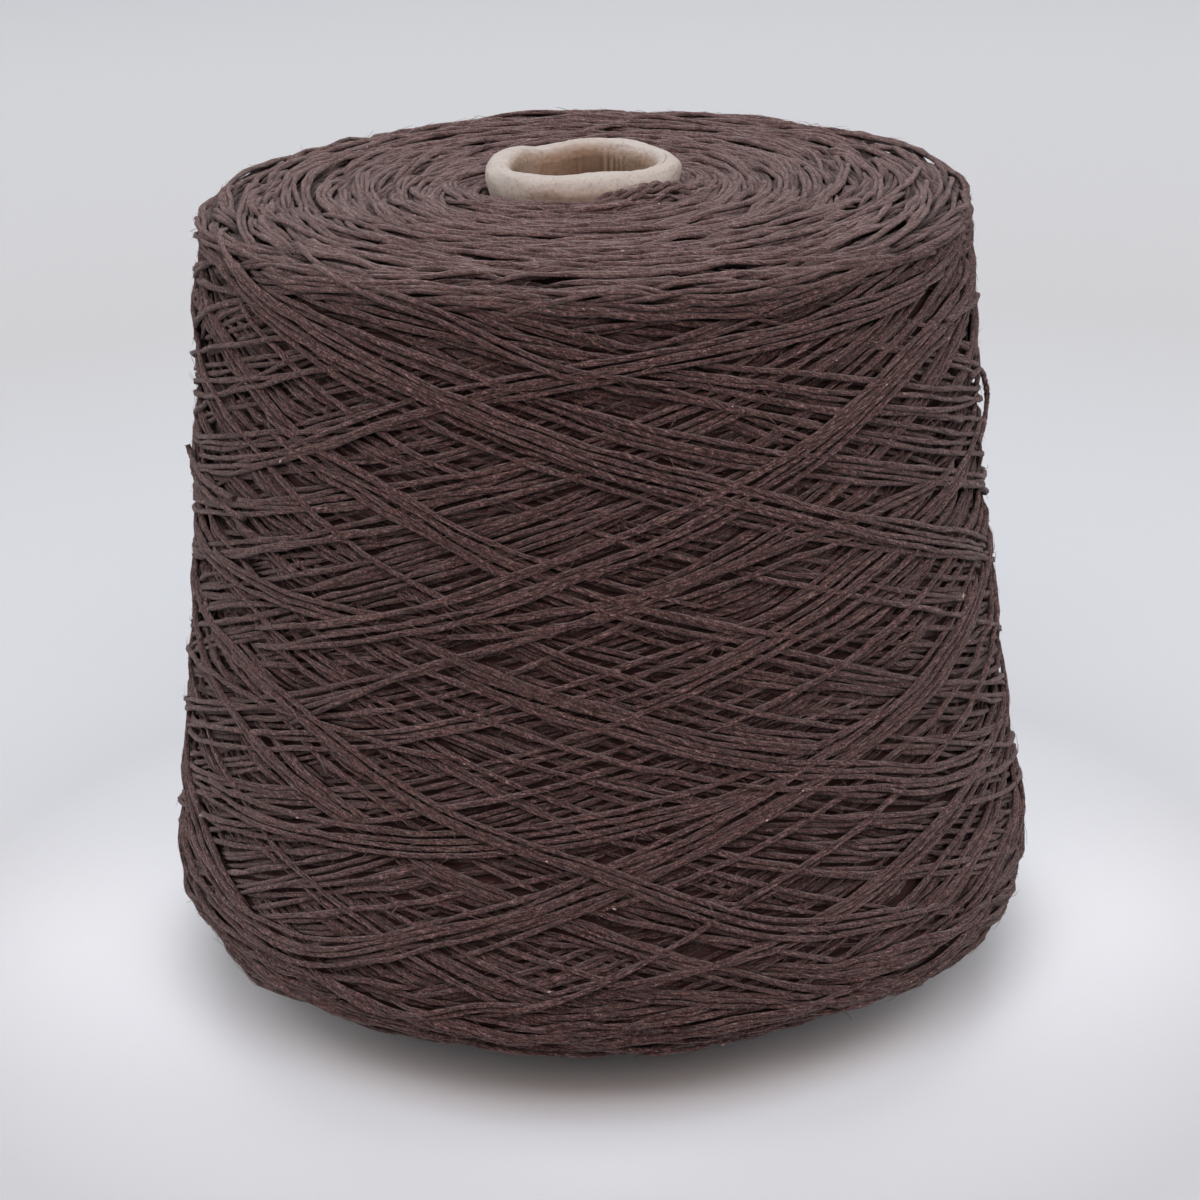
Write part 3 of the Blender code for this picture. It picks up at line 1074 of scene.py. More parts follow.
def climbing_strand(number, row, settings, rng):
    """One of the strands that climb the rim's foot, twisted round its neighbours."""
    first, last, out, up = row
    azimuth = np.arange(first, last, CLIMB_STEP)
    radius = spline_through([knot[:2] for knot in CLIMB_PATH], azimuth) * MM
    height = spline_through([knot[::2] for knot in CLIMB_PATH], azimuth) * MM
    angle = np.radians(azimuth)
    phase = 2 * math.pi * angle * CLIMB_RADIUS / CLIMB_TWIST + CLIMB_PHASE * number
    radius += out * MM + CLIMB_TWIST_REACH * np.cos(phase)
    height += up * MM + CLIMB_TWIST_REACH * np.sin(phase)
    ends = np.clip(np.minimum(azimuth - first, last - azimuth) / CLIMB_END, 0, 1)
    height -= (1 - ends) ** 2 * CLIMB_END_SINK
    centres = np.stack([radius * np.sin(angle), -radius * np.cos(angle), height], -1)
    normals = np.tile([0.0, 0.0, 1.0], (len(azimuth), 1))
    return centres, normals, CLIMB_THINNING * uneven_radii(len(azimuth), settings, rng)


def loose_ends(chart, settings, rng, fuzz):
    """All strands that aren't laid on the pile."""
    tubes = Tubes(LOOSE_SIDES)
    strands = [loose_strand(chart, knots, settings, rng) for knots in LOOSE_STRANDS]
    strands += [climbing_strand(i, row, settings, rng) for i, row in enumerate(CLIMBING_STRANDS)]
    for centres, normals, radii in strands:
        tubes.add(centres, normals, radii, rng.random(), np.zeros(len(radii)), rng.uniform(0, 1))
        fuzz.grow(centres, normals, radii, np.zeros(len(radii)))
    return tubes


# ----------------------------------------------------------------------------------------------------
# Materials
# ----------------------------------------------------------------------------------------------------


class Finish:
    """A material's node tree, with short calls for the nodes this object needs."""

    def __init__(self, name):
        self.material = bpy.data.materials.new(name)
        self.material.use_nodes = True
        self.nodes = self.material.node_tree.nodes
        self.links = self.material.node_tree.links
        self.shader = self.nodes["Principled BSDF"]

    def node(self, kind, **values):
        made = self.nodes.new(kind)
        for key, value in values.items():
            setattr(made, key, value)
        return made

    def link(self, start, end):
        self.links.new(start, end)

    def math(self, operation, a, b):
        made = self.node("ShaderNodeMath", operation=operation)
        for socket, value in zip(made.inputs, (a, b)):
            if isinstance(value, (int, float)):
                socket.default_value = value
            else:
                self.link(value, socket)
        return made.outputs[0]

    def noise(self, vector, scale, detail=2.0, roughness=0.5):
        made = self.node("ShaderNodeTexNoise")
        made.inputs["Scale"].default_value = scale
        made.inputs["Detail"].default_value = detail
        made.inputs["Roughness"].default_value = roughness
        self.link(vector, made.inputs["Vector"])
        return made.outputs["Fac"]

    def stretched(self, vector, scale):
        made = self.node("ShaderNodeMapping")
        made.inputs["Scale"].default_value = scale
        self.link(vector, made.inputs["Vector"])
        return made.outputs["Vector"]

    def ramp(self, factor, stops):
        """A colour ramp from stops (place, colour)."""
        made = self.node("ShaderNodeValToRGB")
        ramp = made.color_ramp
        while len(ramp.elements) < len(stops):
            ramp.elements.new(0.5)
        for element, (place, colour) in zip(ramp.elements, stops):
            element.position = place
            element.color = (*colour, 1.0)
        self.link(factor, made.inputs["Fac"])
        return made.outputs["Color"]

    def mix(self, factor, a, b, blend_type="MIX"):
        made = self.node("ShaderNodeMix", data_type="RGBA", blend_type=blend_type)
        for socket, value in ((made.inputs["Factor"], factor), (made.inputs["A"], a), (made.inputs["B"], b)):
            if isinstance(value, (int, float)):
                socket.default_value = value
            elif isinstance(value, tuple):
                socket.default_value = (*value, 1.0)
            else:
                self.link(value, socket)
        return made.outputs["Result"]

    def value(self, name):
        """A value kept at the mesh's points."""
        return self.node("ShaderNodeAttribute", attribute_name=name).outputs["Fac"]

    def place(self):
        return self.node("ShaderNodeTexCoord").outputs["Object"]

    def mask(self, factor, low, high, most=1.0):
        """Grey that rises from nothing at low to the most at high."""
        return self.ramp(factor, ((low, (0.0, 0.0, 0.0)), (high, (most, most, most))))

    def set(self, **values):
        """Sets the shader's own sockets, named with _ for spaces."""
        for name, value in values.items():
            self.shader.inputs[name.replace("_", " ")].default_value = value

    def finished(self, colour, normal=None):
        """The material, with its colour and normal linked."""
        self.link(colour, self.shader.inputs["Base Color"])
        if normal is not None:
            self.link(normal, self.shader.inputs["Normal"])
        return self.material

    def bump(self, height, strength, distance, before=None):
        made = self.node("ShaderNodeBump")
        made.inputs["Strength"].default_value = strength
        made.inputs["Distance"].default_value = distance
        self.link(height, made.inputs["Height"])
        if before is not None:
            self.link(before, made.inputs["Normal"])
        return made.outputs["Normal"]


def shade(colour, factor):
    return tuple(channel * factor for channel in colour)


def grey(value):
    return (value, value, value)


STREAKS_PER_METRE = 700.0
STREAKS_ROUND = 12.0
STREAKS_BETWEEN_TURNS = 57.0
FLUFF_PER_METRE = 2300.0
PATCHES_PER_METRE = 60.0


def yarn_finish(settings):
    """Soft spun yarn: fibres along it in streaks, two loosely twisted plies, and a tone for each turn, with
    painted shade on deep turns and on the strands' undersides, and painted light and sheen on the head.
    """
    finish = Finish("soft_brown_yarn")
    along = finish.node("ShaderNodeUVMap", uv_map="along_the_yarn").outputs["UV"]
    tone, depth, top = (finish.value(name) for name in ("tone", "depth", "top"))
    position = finish.place()
    parts = finish.node("ShaderNodeSeparateXYZ")
    finish.link(along, parts.inputs["Vector"])
    length, turn = parts.outputs["X"], parts.outputs["Y"]
    twist = finish.math("ADD", finish.math("MULTIPLY", length, 1 / settings.ply_pitch), turn)
    skewed = finish.node("ShaderNodeCombineXYZ")
    finish.link(finish.math("MULTIPLY", length, STREAKS_PER_METRE), skewed.inputs["X"])
    finish.link(finish.math("MULTIPLY", twist, STREAKS_ROUND), skewed.inputs["Y"])
    finish.link(finish.math("MULTIPLY", tone, STREAKS_BETWEEN_TURNS), skewed.inputs["Z"])
    streaks = finish.noise(skewed.outputs["Vector"], 1.0, 2.0, 0.6)
    plies = finish.math("COSINE", finish.math("MULTIPLY", twist, 4 * math.pi), 0.0)
    fluff = finish.noise(position, FLUFF_PER_METRE, 2.0, 0.6)
    patches = finish.noise(position, PATCHES_PER_METRE, 2.0, 0.5)
    rusty = finish.noise(finish.stretched(position, (420.0, 420.0, 900.0)), 1.0, 2.0, 0.7)
    colour = settings.yarn_colour[:]
    body = finish.ramp(streaks, (
        (0.38, shade(colour, 0.16)),
        (0.47, shade(colour, 0.72)),
        (0.56, shade(colour, 1.42)),
        (0.66, settings.yarn_light_colour[:]),
    ))
    body = finish.mix(finish.math("MULTIPLY", tone, 0.30), body, shade(colour, 0.6))
    lint = finish.ramp(fluff, ((0.36, grey(0.36)), (0.50, grey(0.95)), (0.64, grey(1.9))))
    body = finish.mix(0.9, body, lint, "MULTIPLY")
    body = finish.mix(finish.math("MULTIPLY", patches, 0.24), body, settings.yarn_warm_colour[:])
    body = finish.mix(finish.mask(rusty, 0.67, 0.76, 0.28), body, settings.yarn_rusty_colour[:])
    # Painted light and painted sheen on the head: up-facing turns are made lighter and mixed towards a pale
    # grey brown.
    lit = finish.node("ShaderNodeVectorMath", operation="SCALE")
    finish.link(body, lit.inputs[0])
    finish.link(finish.math("ADD", finish.math("MULTIPLY", top, 0.25), 1.0), lit.inputs["Scale"])
    head_sheen = finish.math("MULTIPLY", top, 0.28)
    body = finish.mix(head_sheen, lit.outputs["Vector"], settings.yarn_head_sheen_colour[:])
    # Painted shade on deep turns and in the head's hollows.
    body = finish.mix(finish.math("MULTIPLY", depth, 0.5), body, shade(colour, 0.25))
    # Painted shade on each strand's underside, towards the gaps between the turns.
    facing = finish.math("COSINE", finish.math("MULTIPLY", turn, 2 * math.pi), 0.0)
    body = finish.mix(finish.mask(facing, 0.30, 0.75, 0.8), body, shade(colour, 0.3))
    finish.set(Roughness=0.95, Specular_IOR_Level=0.12)
    finish.set(Sheen_Weight=settings.yarn_sheen, Sheen_Roughness=0.35, Sheen_Tint=(1.0, 0.93, 0.92, 1.0))
    ridges = finish.math("ADD", finish.math("MULTIPLY", plies, 0.25), streaks)
    normal = finish.bump(ridges, 1.0, 0.45 * MM)
    return finish.finished(body, finish.bump(fluff, 1.0, 0.35 * MM, normal))


def fibre_finish(name, colour, speckle):
    """Loose fibres, of one colour but for a fine speckle."""
    finish = Finish(name)
    specks = finish.noise(finish.place(), 2500.0, 2.0, 0.6)
    body = finish.ramp(specks, ((0.35, shade(colour, 1 - speckle)), (0.65, shade(colour, 1 + speckle))))
    finish.set(Roughness=0.9, Specular_IOR_Level=0.1)
    return finish.finished(body, finish.bump(specks, 0.5, 0.05 * MM))


def deep_yarn_finish(settings):
    """The turns deep in the package, seen only through the windows: painted dark as shade, with level ridges.
    """
    finish = Finish("deep_brown_yarn")
    ridges = finish.noise(finish.stretched(finish.place(), (60.0, 60.0, 900.0)), 1.0, 3.0, 0.6)
    colour = settings.yarn_colour[:]
    body = finish.ramp(ridges, ((0.3, shade(colour, 0.35)), (0.7, shade(colour, 0.9))))
    finish.set(Roughness=0.95, Specular_IOR_Level=0.1)
    return finish.finished(body, finish.bump(ridges, 1.0, 0.6 * MM))


def paper_finish(settings):
    """Raw paper board: cream, mottled with warm stains, fibrous, and with painted shade deep inside the mouth.
    """
    finish = Finish("raw_paper_board")
    position = finish.place()
    rub = finish.value("rub")
    colour = settings.paper_colour[:]
    stain = settings.paper_stain_colour[:]
    clouds = finish.noise(position, 110.0, 4.0, 0.6)
    specks = finish.noise(position, 1150.0, 3.0, 0.75)
    fibres = finish.noise(finish.stretched(position, (600.0, 600.0, 1500.0)), 1.0, 4.0, 0.65)
    cloudy = finish.mask(clouds, 0.40, 0.66)
    worn = finish.math("MULTIPLY", rub, finish.math("ADD", finish.math("MULTIPLY", cloudy, 0.3), 0.7))
    body = finish.mix(worn, colour, stain)
    body = finish.mix(finish.math("MULTIPLY", cloudy, 0.22), body, stain)
    speckled = finish.math("ADD", finish.math("MULTIPLY", rub, 0.45), 0.3)
    dotted = finish.math("MULTIPLY", finish.mask(specks, 0.52, 0.66), speckled)
    body = finish.mix(dotted, body, shade(stain, 0.62))
    # Painted shade deep inside the mouth.
    body = finish.mix(finish.value("age"), body, settings.paper_mouth_shade_colour[:])
    finish.set(Roughness=0.88, Specular_IOR_Level=0.2)
    normal = finish.bump(fibres, 0.6, 0.14 * MM)
    return finish.finished(body, finish.bump(specks, 0.6, 0.12 * MM, normal))


def floor_finish(settings):
    """Seamless paper with painted light: brighter round the cone as a painted pool of light, and darker and
    greyer farther out as the light falls off.
    """
    finish = Finish("studio_paper")
    position = finish.place()
    reach = finish.node("ShaderNodeVectorMath", operation="LENGTH")
    finish.link(position, reach.inputs[0])
    near = settings.floor_colour[:]
    far = settings.floor_far_colour[:]
    # Painted light: a brighter disc round the cone lifts its shadow, and the paper darkens outwards where less
    # light falls.
    body = finish.ramp(reach.outputs["Value"], (
        (0.10, near),
        (0.15, shade(near, 0.72)),
        (0.32, shade(near, 0.67)),
        (0.50, shade(far, 0.91)),
        (1.0, far),
    ))
    grain = finish.noise(position, 900.0, 2.0, 0.5)
    body = finish.mix(finish.math("MULTIPLY", grain, 0.03), body, shade(far, 0.8))
    finish.set(Roughness=0.7, Specular_IOR_Level=0.2)
    return finish.finished(body)


# ----------------------------------------------------------------------------------------------------
# Settings
# ----------------------------------------------------------------------------------------------------


def colour_setting(name, description, default):
    return bpy.props.FloatVectorProperty(
        name=name, description=description, default=default, subtype="COLOR", size=3, min=0.0, max=1.0
    )


def length_setting(name, description, default):
    return bpy.props.FloatProperty(
        name=name, description=description, default=default, subtype="DISTANCE", unit="LENGTH"
    )


class YarnSettings(bpy.types.PropertyGroup):
    strand_width: length_setting("Strand width", "Thickness of one turn of yarn", 1.14 * MM)
    ply_pitch: length_setting("Ply pitch", "Length in which the plies go once round each other", PLY_PITCH)
    wind_angle: bpy.props.FloatProperty(
        name="Wind angle", description="Slope of the turns on the side", subtype="ANGLE",
        default=math.radians(19.5),
    )
    side_turns: bpy.props.IntProperty(
        name="Side turns", description="Traverses laid under the front bundles", default=1380, min=1
    )
    head_arcs: bpy.props.IntProperty(
        name="Head arcs", description="Short arcs of turn-rounds laid on the head", default=3800, min=1
    )
    foot_arcs: bpy.props.IntProperty(
        name="Foot arcs", description="Short arcs of turn-rounds laid on the underside", default=1400, min=1
    )
    sides: bpy.props.IntProperty(name="Sides", description="Sides of a strand's tube", default=5, min=3)
    seed: bpy.props.IntProperty(name="Seed", description="Start of the random draws", default=11)
    yarn_colour: colour_setting("Yarn colour", "Main colour of the yarn", (0.090, 0.0485, 0.0465))
    yarn_warm_colour: colour_setting("Warm colour", "Colour of its warmer patches", (0.115, 0.056, 0.044))
    yarn_rusty_colour: colour_setting("Rusty colour", "Colour of a few fibres", (0.26, 0.125, 0.075))
    yarn_light_colour: colour_setting("Light colour", "Colour of the lightest fibres", (0.215, 0.142, 0.134))
    # The colour of the painted sheen on the head.
    yarn_head_sheen_colour: colour_setting("Dusty colour", "Colour of the fluff on the head", (0.24, 0.18, 0.175))
    hair_colour: colour_setting("Loose fibre colour", "Colour of fibres that stand off", (0.20, 0.125, 0.115))
    knot_colour: colour_setting("Knot colour", "Colour of the small knots of fibre", (0.46, 0.37, 0.33))
    yarn_sheen: bpy.props.FloatProperty(name="Sheen", description="Weight of the fibres' sheen", default=0.27)


class PaperSettings(bpy.types.PropertyGroup):
    paper_colour: colour_setting("Paper colour", "Main colour of the paper cone", (0.46, 0.425, 0.395))
    paper_stain_colour: colour_setting("Stain colour", "Colour of its warm stains", (0.34, 0.235, 0.165))
    # The colour of the painted shade deep in the mouth.
    paper_mouth_shade_colour: colour_setting("Inside colour", "Colour deep in its mouth", (0.11, 0.058, 0.032))


def power_setting(name, description, default):
    return bpy.props.FloatProperty(name=name, description=description, default=default, min=0.0)


class StageSettings(bpy.types.PropertyGroup):
    # The near colour holds the painted pool of light round the cone.
    floor_colour: colour_setting("Floor colour", "Colour of the floor near the cone", (0.754, 0.783, 0.814))
    floor_far_colour: colour_setting("Far colour", "Colour of the floor farther out", (0.508, 0.513, 0.518))
    top_light: power_setting("Top light", "Strength of the soft overhead light", 2.02)
    top_light_softness: bpy.props.FloatProperty(
        name="Top softness", description="Width of the overhead light in the sky", default=math.radians(60),
        subtype="ANGLE"
    )
    front_light: power_setting("Front light", "Power of the warm soft light in front", 13.8)
    back_light: power_setting("Back light", "Power of the soft light behind", 16.4)
    side_light: power_setting("Side light", "Power of each soft side light", 7.5)
    sky_light: power_setting("Sky light", "Strength of the light from above", 0.03)


# ----------------------------------------------------------------------------------------------------
# Pieces
# ----------------------------------------------------------------------------------------------------


def ring_mesh(name, points, closed):
    """A mesh from points by azimuth and place along a section. A closed section gives a closed ring."""
    columns, count = points.shape[:2]
    column = np.arange(columns)[:, None] * count
    nearby = (np.arange(columns)[:, None] + 1) % columns * count
    row = np.arange(count if closed else count - 1)[None, :]
    below = (row + 1) % count
    quads = np.stack([column + row, nearby + row, nearby + below, column + below], -1).reshape(-1, 4)
    return mesh_from_polygons(name, points.reshape(-1, 3), quads.ravel(), np.full(len(quads), 4))


def add_piece(name, mesh, finish, node):
    """A piece that rides on the part and stands for one of its solids."""
    piece = new_object(name, mesh, finish)
    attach(piece, "root")
    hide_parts(node)


def build_yarn(context):
    settings = context.scene.yarn_cone_yarn
    rng = np.random.default_rng(settings.seed)
    chart = Chart()
    turns = wind(chart, settings, rng)
    chart.settle()
    fuzz = Fuzz(np.random.default_rng(settings.seed + 1))
    finish = yarn_finish(settings)
    for number, tubes in enumerate(turns_to_tubes(chart, turns, settings.sides, rng, fuzz), 1):
        if tubes.points:
            name = f"yarn_turns_{number}"
            add_piece(name, tubes.mesh(name), finish, "yarn_winding")
    ends = loose_ends(chart, settings, rng, fuzz)
    add_piece("loose_strands", ends.mesh("loose_strands"), finish, "yarn_winding")
    hair = fibre_finish("loose_fibres", settings.hair_colour[:], 0.25)
    add_piece("stray_fibres", fuzz.hairs.mesh("stray_fibres"), hair, "yarn_winding")
    pale = fibre_finish("pale_fibre_knots", settings.knot_colour[:], 0.2)
    add_piece("fibre_knots", fuzz.knots.mesh("fibre_knots"), pale, "yarn_winding")
    add_piece("deep_turns", deep_body(chart), deep_yarn_finish(settings), "yarn_winding")


CORE_DEPTH = 2.3 * MM
CORE_COLUMNS = 96
CORE_ROW_STEP = 16


def deep_body(chart):
    """The body of deep turns that closes the windows between the turns, painted dark as shade by its finish."""
    azimuths = 2 * math.pi * np.arange(CORE_COLUMNS) / CORE_COLUMNS
    ways = np.arange(0, chart.rows, CORE_ROW_STEP) * CHART_STEP
    azimuth, way = np.meshgrid(azimuths, ways, indexing="ij")
    points, _ = chart.place(azimuth, way, -CORE_DEPTH)
    return ring_mesh("deep_turns", points, closed=True)


CONE_FOOT_RADIUS = 35.5 * MM
CONE_TAPER = 0.1042
CONE_WALL = 2.0 * MM
RIM_TOP = 170.3 * MM
RIM_DEPTH = 7.5 * MM
NECK = RIM_TOP - RIM_DEPTH
RIM_OUTER = 19.5 * MM
RIM_HALF_HEIGHT = 2.81 * MM
RIM_ROOT = 20
LIP_SQUARENESS = 0.86
RIM_RIPPLE = 0.25 * MM

# Where the rim dips or stands up: (azimuth, half width in degrees, up).
RIM_WAVES = ((-152, 27, -0.8 * MM), (-118, 36, 0.25 * MM))

# The mouth is round behind, and flatter where the front of the rim has been pushed in.
MOUTH_RADIUS = 14.4 * MM
MOUTH_FRONT = 10.7 * MM
MOUTH_FRONT_AZIMUTH = -9
MOUTH_LEAST_FACING = 0.3
MOUTH_WIDENING = 40 * MM

PLEATS = 66
PLEAT_DRIFT = 2.6
PLEAT_DEPTH = 0.24 * MM
PLEAT_MIDDLE = 7.2 * MM
PLEAT_BACK = (168, 60)
PLEAT_SHARES = (0.25, 0.75)
LUMP = 0.14 * MM
FINE_LUMP = 0.035 * MM
LUMP_RISE = 0.7

# Where the mouth's inside gets painted shade: (azimuth, half width in degrees), the depth under the lip at
# which that starts and the depth over which it grows, and its share all round and at the back.
MOUTH_SHADE_BACK = (160, 62)
MOUTH_SHADE_FROM = 1.5 * MM
MOUTH_SHADE_OVER = 5.0 * MM
MOUTH_SHADE_SHARES = (0.25, 0.85)

# Where it is rubbed: (azimuth, half width in degrees), the depth under the lip at which that starts, the depths
# over which it grows inside and outside, and its share outside, all round and at the front.
RUBBED_FRONT = (-4, 58)
RUBBED_FROM = 0.3 * MM
RUBBED_OVER = (1.6 * MM, 3.2 * MM)
RUBBED_SHARES = (0.35, 0.65)

PAPER_SEED = 5
PAPER_COLUMNS = 272
OUTSIDE_ROWS = 14
LIP_ROWS = 44
INSIDE_ROWS = 32
INSIDE_CROWDING = 1.6


def paper_section(mouth):
    """The radii and heights of the paper cone's section at one azimuth, where its mouth has that radius."""
    outside = np.linspace(0, NECK, OUTSIDE_ROWS)
    lip = np.radians(np.linspace(-RIM_ROOT, 180 + RIM_ROOT, LIP_ROWS))
    inside = NECK * (1 - np.linspace(0, 1, INSIDE_ROWS) ** INSIDE_CROWDING)
    middle, half_width = (RIM_OUTER + mouth) / 2, (RIM_OUTER - mouth) / 2
    lip_radii = middle + half_width * np.sign(np.cos(lip)) * np.abs(np.cos(lip)) ** LIP_SQUARENESS
    lip_heights = RIM_TOP - RIM_HALF_HEIGHT + RIM_HALF_HEIGHT * np.sin(lip)
    outer = CONE_FOOT_RADIUS - CONE_TAPER * outside
    inner = CONE_FOOT_RADIUS - CONE_TAPER * inside - CONE_WALL
    widening = np.clip((NECK - inside) / MOUTH_WIDENING, 0, 1)
    inner = mouth + (inner - mouth) * widening**2 * (3 - 2 * widening)
    return np.concatenate([outer, lip_radii, inner]), np.concatenate([outside, lip_heights, inside])


def mouth_radii(degrees):
    """The mouth's radius round the cone: the smaller of its round and its flat, eased where they meet."""
    facing = np.maximum(np.cos(np.radians(degrees - MOUTH_FRONT_AZIMUTH)), MOUTH_LEAST_FACING)
    return -np.log(np.exp(-MOUTH_RADIUS / MM) + np.exp(-MOUTH_FRONT / facing / MM)) * MM


def paper_noise(rng, rows, round_blur, down_blur):
    """Blurred noise with a spread of 1, round the cone and along its section."""
    noise = blurred(rng.normal(size=(PAPER_COLUMNS, rows)), round_blur, down_blur)
    return noise / noise.std()


def share_round(degrees, spot, shares):
    """A share round the cone: the first one everywhere, and the second one added at the spot."""
    return shares[0] + shares[1] * hump(turned_back(degrees - spot[0]), spot[1])[:, None]


def pleats_round(degrees, rng):
    """The pleats round the mouth, in and out of its wall: stronger behind, and gone in some spots."""
    drift = paper_noise(rng, 1, 6, 0)
    patchy = paper_noise(rng, 1, 4, 0)
    phase = PLEATS * np.radians(degrees)[:, None] + PLEAT_DRIFT * drift
    behind = share_round(degrees, PLEAT_BACK, PLEAT_SHARES)
    return np.cos(phase) * (np.clip(0.45 + 0.5 * patchy, 0, 1.2) * behind)


def rim_waves(degrees):
    """How far the rim stands up or dips, round the cone."""
    ripple = np.sin(np.radians(2 * degrees + 40)) + 0.5 * np.sin(np.radians(5 * degrees))
    return RIM_RIPPLE * ripple + sum(
        up * hump(turned_back(degrees - middle), half_width) for middle, half_width, up in RIM_WAVES
    )


def paper_points():
    """The paper cone's points round it and along its section, with how much painted shade and how rubbed each
    looks.
    """
    rng = np.random.default_rng(PAPER_SEED)
    degrees = 360 * np.arange(PAPER_COLUMNS) / PAPER_COLUMNS
    sections = [paper_section(mouth) for mouth in mouth_radii(degrees)]
    radii, heights = (np.array(values) for values in zip(*sections))
    count = radii.shape[1]
    is_inside = np.arange(count) > OUTSIDE_ROWS + LIP_ROWS // 2
    lip_share = np.clip((heights - NECK) / RIM_DEPTH, 0, 1)
    under_top = RIM_TOP - heights
    bumpy = LUMP * paper_noise(rng, count, 7, 4) + FINE_LUMP * paper_noise(rng, count, 1, 1)
    bumpy *= np.minimum(lip_share * 3, 1)
    pleats = pleats_round(degrees, rng) * hump(under_top - PLEAT_MIDDLE, PLEAT_MIDDLE) * is_inside
    radii = radii + np.where(is_inside, -1.0, 1.0) * bumpy + PLEAT_DEPTH * pleats
    heights = heights + lip_share * (rim_waves(degrees)[:, None] + LUMP_RISE * bumpy)
    deep = np.clip((under_top - MOUTH_SHADE_FROM) / MOUTH_SHADE_OVER, 0, 1)
    # Painted shade inside the mouth: darker deeper down, most at the back, and in the folds of the pleats.
    shade_inside = deep * share_round(degrees, MOUTH_SHADE_BACK, MOUTH_SHADE_SHARES) + 0.5 * pleats * np.minimum(3 * deep, 1)
    age = is_inside * np.clip(shade_inside, 0, 1)
    rub = np.clip((under_top - RUBBED_FROM) / np.where(is_inside, *RUBBED_OVER), 0, 1)
    rub *= np.where(is_inside, 1, share_round(degrees, RUBBED_FRONT, RUBBED_SHARES))
    angle = np.radians(degrees)[:, None]
    points = np.stack([radii * np.sin(angle), -radii * np.cos(angle), heights], -1)
    return points, {"age": age, "rub": rub}


def build_paper(context):
    points, values = paper_points()
    mesh = ring_mesh("rolled_paper_cone", points, closed=True)
    keep_values(mesh, values)
    finish = paper_finish(context.scene.yarn_cone_paper)
    add_piece("rolled_paper_cone", mesh, finish, "paper_cone")


BOWL_RADIUS = 2.8
BOWL_BEND = 1.0
BOWL_HEIGHT = 2.6
BOWL_COLUMNS = 96
BOWL_BEND_ROWS = 12
BOWL_FLAT_RADII = (0.001, 0.4, 1.0)

COOL = (0.821, 0.900, 1.0)
WARM = (1.0, 0.771, 0.681)
WARMISH = (1.0, 0.958, 0.953)
WHITE = (1.0, 1.0, 1.0)
TOP_LIGHT_FROM = (0.0, -0.7, 1.0)
PANEL_TARGET = (0.0, 0.0, 0.09)

# The soft panels: name, place, width and height, the setting that holds its power, and colour.
PANELS = (
    ("front_light", (0, -1.25, 1.15), (1.8, 0.9), "front_light", WARM),
    ("back_light", (0, 1.0, 1.5), (1.6, 1.0), "back_light", WARMISH),
    ("left_light", (-1.3, 0.1, 0.7), (0.9, 1.2), "side_light", WHITE),
    ("right_light", (1.3, 0.1, 0.7), (0.9, 1.2), "side_light", WHITE),
)

CAMERA_PLACE = Vector((0.0, -0.5836, 0.3042))
CAMERA_PITCH = 0.3733
CAMERA_ROLL = -0.0272
CAMERA_YAW = -0.0018
CAMERA_LENS = 89.14
CAMERA_SENSOR = 36.0


def build_camera(scene):
    data = bpy.data.cameras.new("photo_camera")
    data.sensor_width = CAMERA_SENSOR
    data.lens = CAMERA_LENS
    camera = bpy.data.objects.new("photo_camera", data)
    scene.collection.objects.link(camera)
    turn = Matrix.Rotation(CAMERA_YAW, 4, "Z") @ Matrix.Rotation(math.pi / 2 - CAMERA_PITCH, 4, "X")
    turn = turn @ Matrix.Rotation(CAMERA_ROLL, 4, "Z")
    camera.matrix_world = Matrix.Translation(CAMERA_PLACE) @ turn
    scene.camera = camera


def add_light(scene, name, kind, place, target, power):
    data = bpy.data.lights.new(name, kind)
    data.energy = power
    light = bpy.data.objects.new(name, data)
    scene.collection.objects.link(light)
    light.location = place
    light.rotation_mode = "QUATERNION"
    light.rotation_quaternion = (Vector(target) - Vector(place)).to_track_quat("-Z", "Y")
    light.visible_camera = False
    return data


def add_lights(scene, settings):
    """The soft overhead light, and the panels that face the cone."""
    top = add_light(scene, "top_light", "SUN", TOP_LIGHT_FROM, (0, 0, 0), settings.top_light)
    top.angle = settings.top_light_softness
    top.color = COOL
    for name, place, size, power, colour in PANELS:
        panel = add_light(scene, name, "AREA", place, PANEL_TARGET, getattr(settings, power))
        panel.shape = "RECTANGLE"
        panel.size, panel.size_y = size
        panel.color = colour


def bowl_mesh():
    """The studio's floor, which bends up into the backdrop all round."""
    line = [(radius, 0.0) for radius in BOWL_FLAT_RADII]
    for angle in np.linspace(0, math.pi / 2, BOWL_BEND_ROWS):
        out, up = BOWL_BEND * math.sin(angle), BOWL_BEND * (1 - math.cos(angle))
        line.append((BOWL_RADIUS - BOWL_BEND + out, up))
    line.append((BOWL_RADIUS, BOWL_HEIGHT))
    angles = 2 * math.pi * np.arange(BOWL_COLUMNS) / BOWL_COLUMNS
    rings = [[on_circle(angle, radius, height) for radius, height in line] for angle in angles]
    return ring_mesh("studio_bowl", np.array(rings), closed=False)


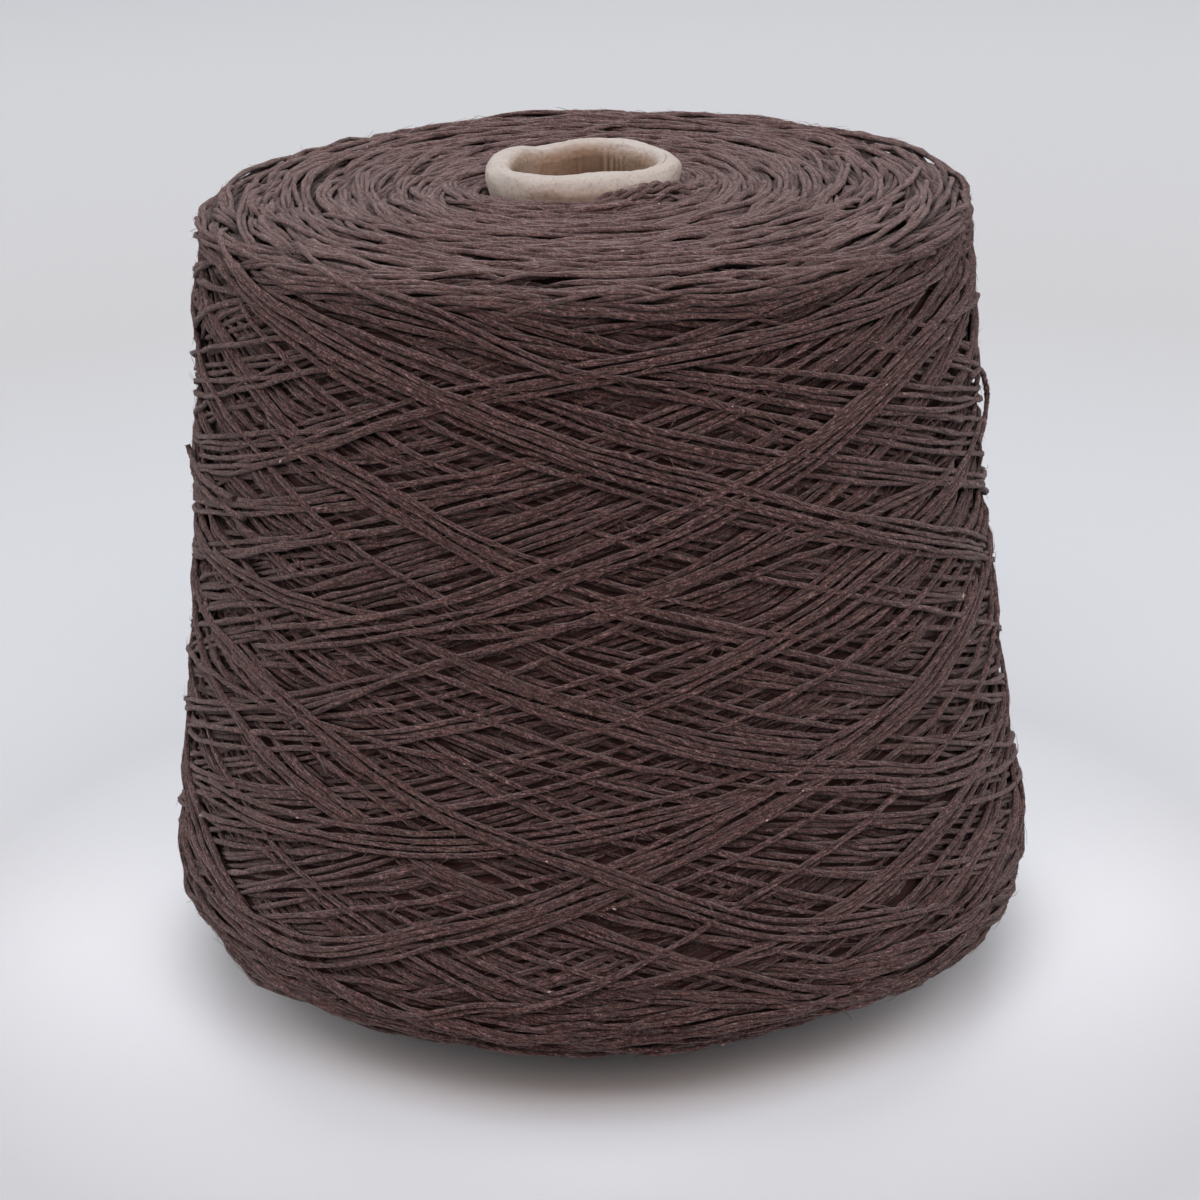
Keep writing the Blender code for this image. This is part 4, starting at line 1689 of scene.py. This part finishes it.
def build_stage(context):
    scene = context.scene
    settings = scene.yarn_cone_stage
    bowl = new_object("studio_bowl", bowl_mesh(), floor_finish(settings))
    add_lights(scene, settings)
    world = bpy.data.worlds.new("studio_air")
    world.use_nodes = True
    background = world.node_tree.nodes["Background"]
    background.inputs["Color"].default_value = (*WHITE, 1.0)
    background.inputs["Strength"].default_value = settings.sky_light
    scene.world = world
    scene.view_settings.view_transform = "Standard"
    build_camera(scene)


class YARNCONE_OT_wind_turns(bpy.types.Operator):
    """Wind the turns of yarn on the side, the head and the underside"""

    bl_idname = "yarn_cone.wind_turns"
    bl_label = "Wind the turns"

    def execute(self, context):
        build_yarn(context)
        return {"FINISHED"}


class YARNCONE_OT_paper_cone(bpy.types.Operator):
    """Roll the paper cone with its thick rim"""

    bl_idname = "yarn_cone.paper_cone"
    bl_label = "Paper cone"

    def execute(self, context):
        build_paper(context)
        return {"FINISHED"}


class YARNCONE_OT_stage(bpy.types.Operator):
    """Set the floor, the lights and the camera"""

    bl_idname = "yarn_cone.stage"
    bl_label = "Stage"

    def execute(self, context):
        build_stage(context)
        return {"FINISHED"}


class YARNCONE_PT_panel(bpy.types.Panel):
    """The steps that make the cone of yarn"""

    bl_label = "Cone of yarn"
    bl_idname = "YARNCONE_PT_panel"
    bl_space_type = "VIEW_3D"
    bl_region_type = "UI"
    bl_category = "Yarn cone"

    def draw(self, context):
        for operator in OPERATORS:
            self.layout.operator(operator.bl_idname)


SETTINGS = {
    "yarn_cone_yarn": YarnSettings,
    "yarn_cone_paper": PaperSettings,
    "yarn_cone_stage": StageSettings,
}
OPERATORS = (YARNCONE_OT_wind_turns, YARNCONE_OT_paper_cone, YARNCONE_OT_stage)
CLASSES = (*SETTINGS.values(), *OPERATORS, YARNCONE_PT_panel)


def register():
    for made in CLASSES:
        bpy.utils.register_class(made)
    for name, group in SETTINGS.items():
        setattr(bpy.types.Scene, name, bpy.props.PointerProperty(type=group))


def unregister():
    for name in SETTINGS:
        delattr(bpy.types.Scene, name)
    for made in reversed(CLASSES):
        bpy.utils.unregister_class(made)


def main():
    register()
    bpy.ops.yarn_cone.stage()
    bpy.ops.yarn_cone.paper_cone()
    bpy.ops.yarn_cone.wind_turns()


if __name__ == "__main__":
    main()
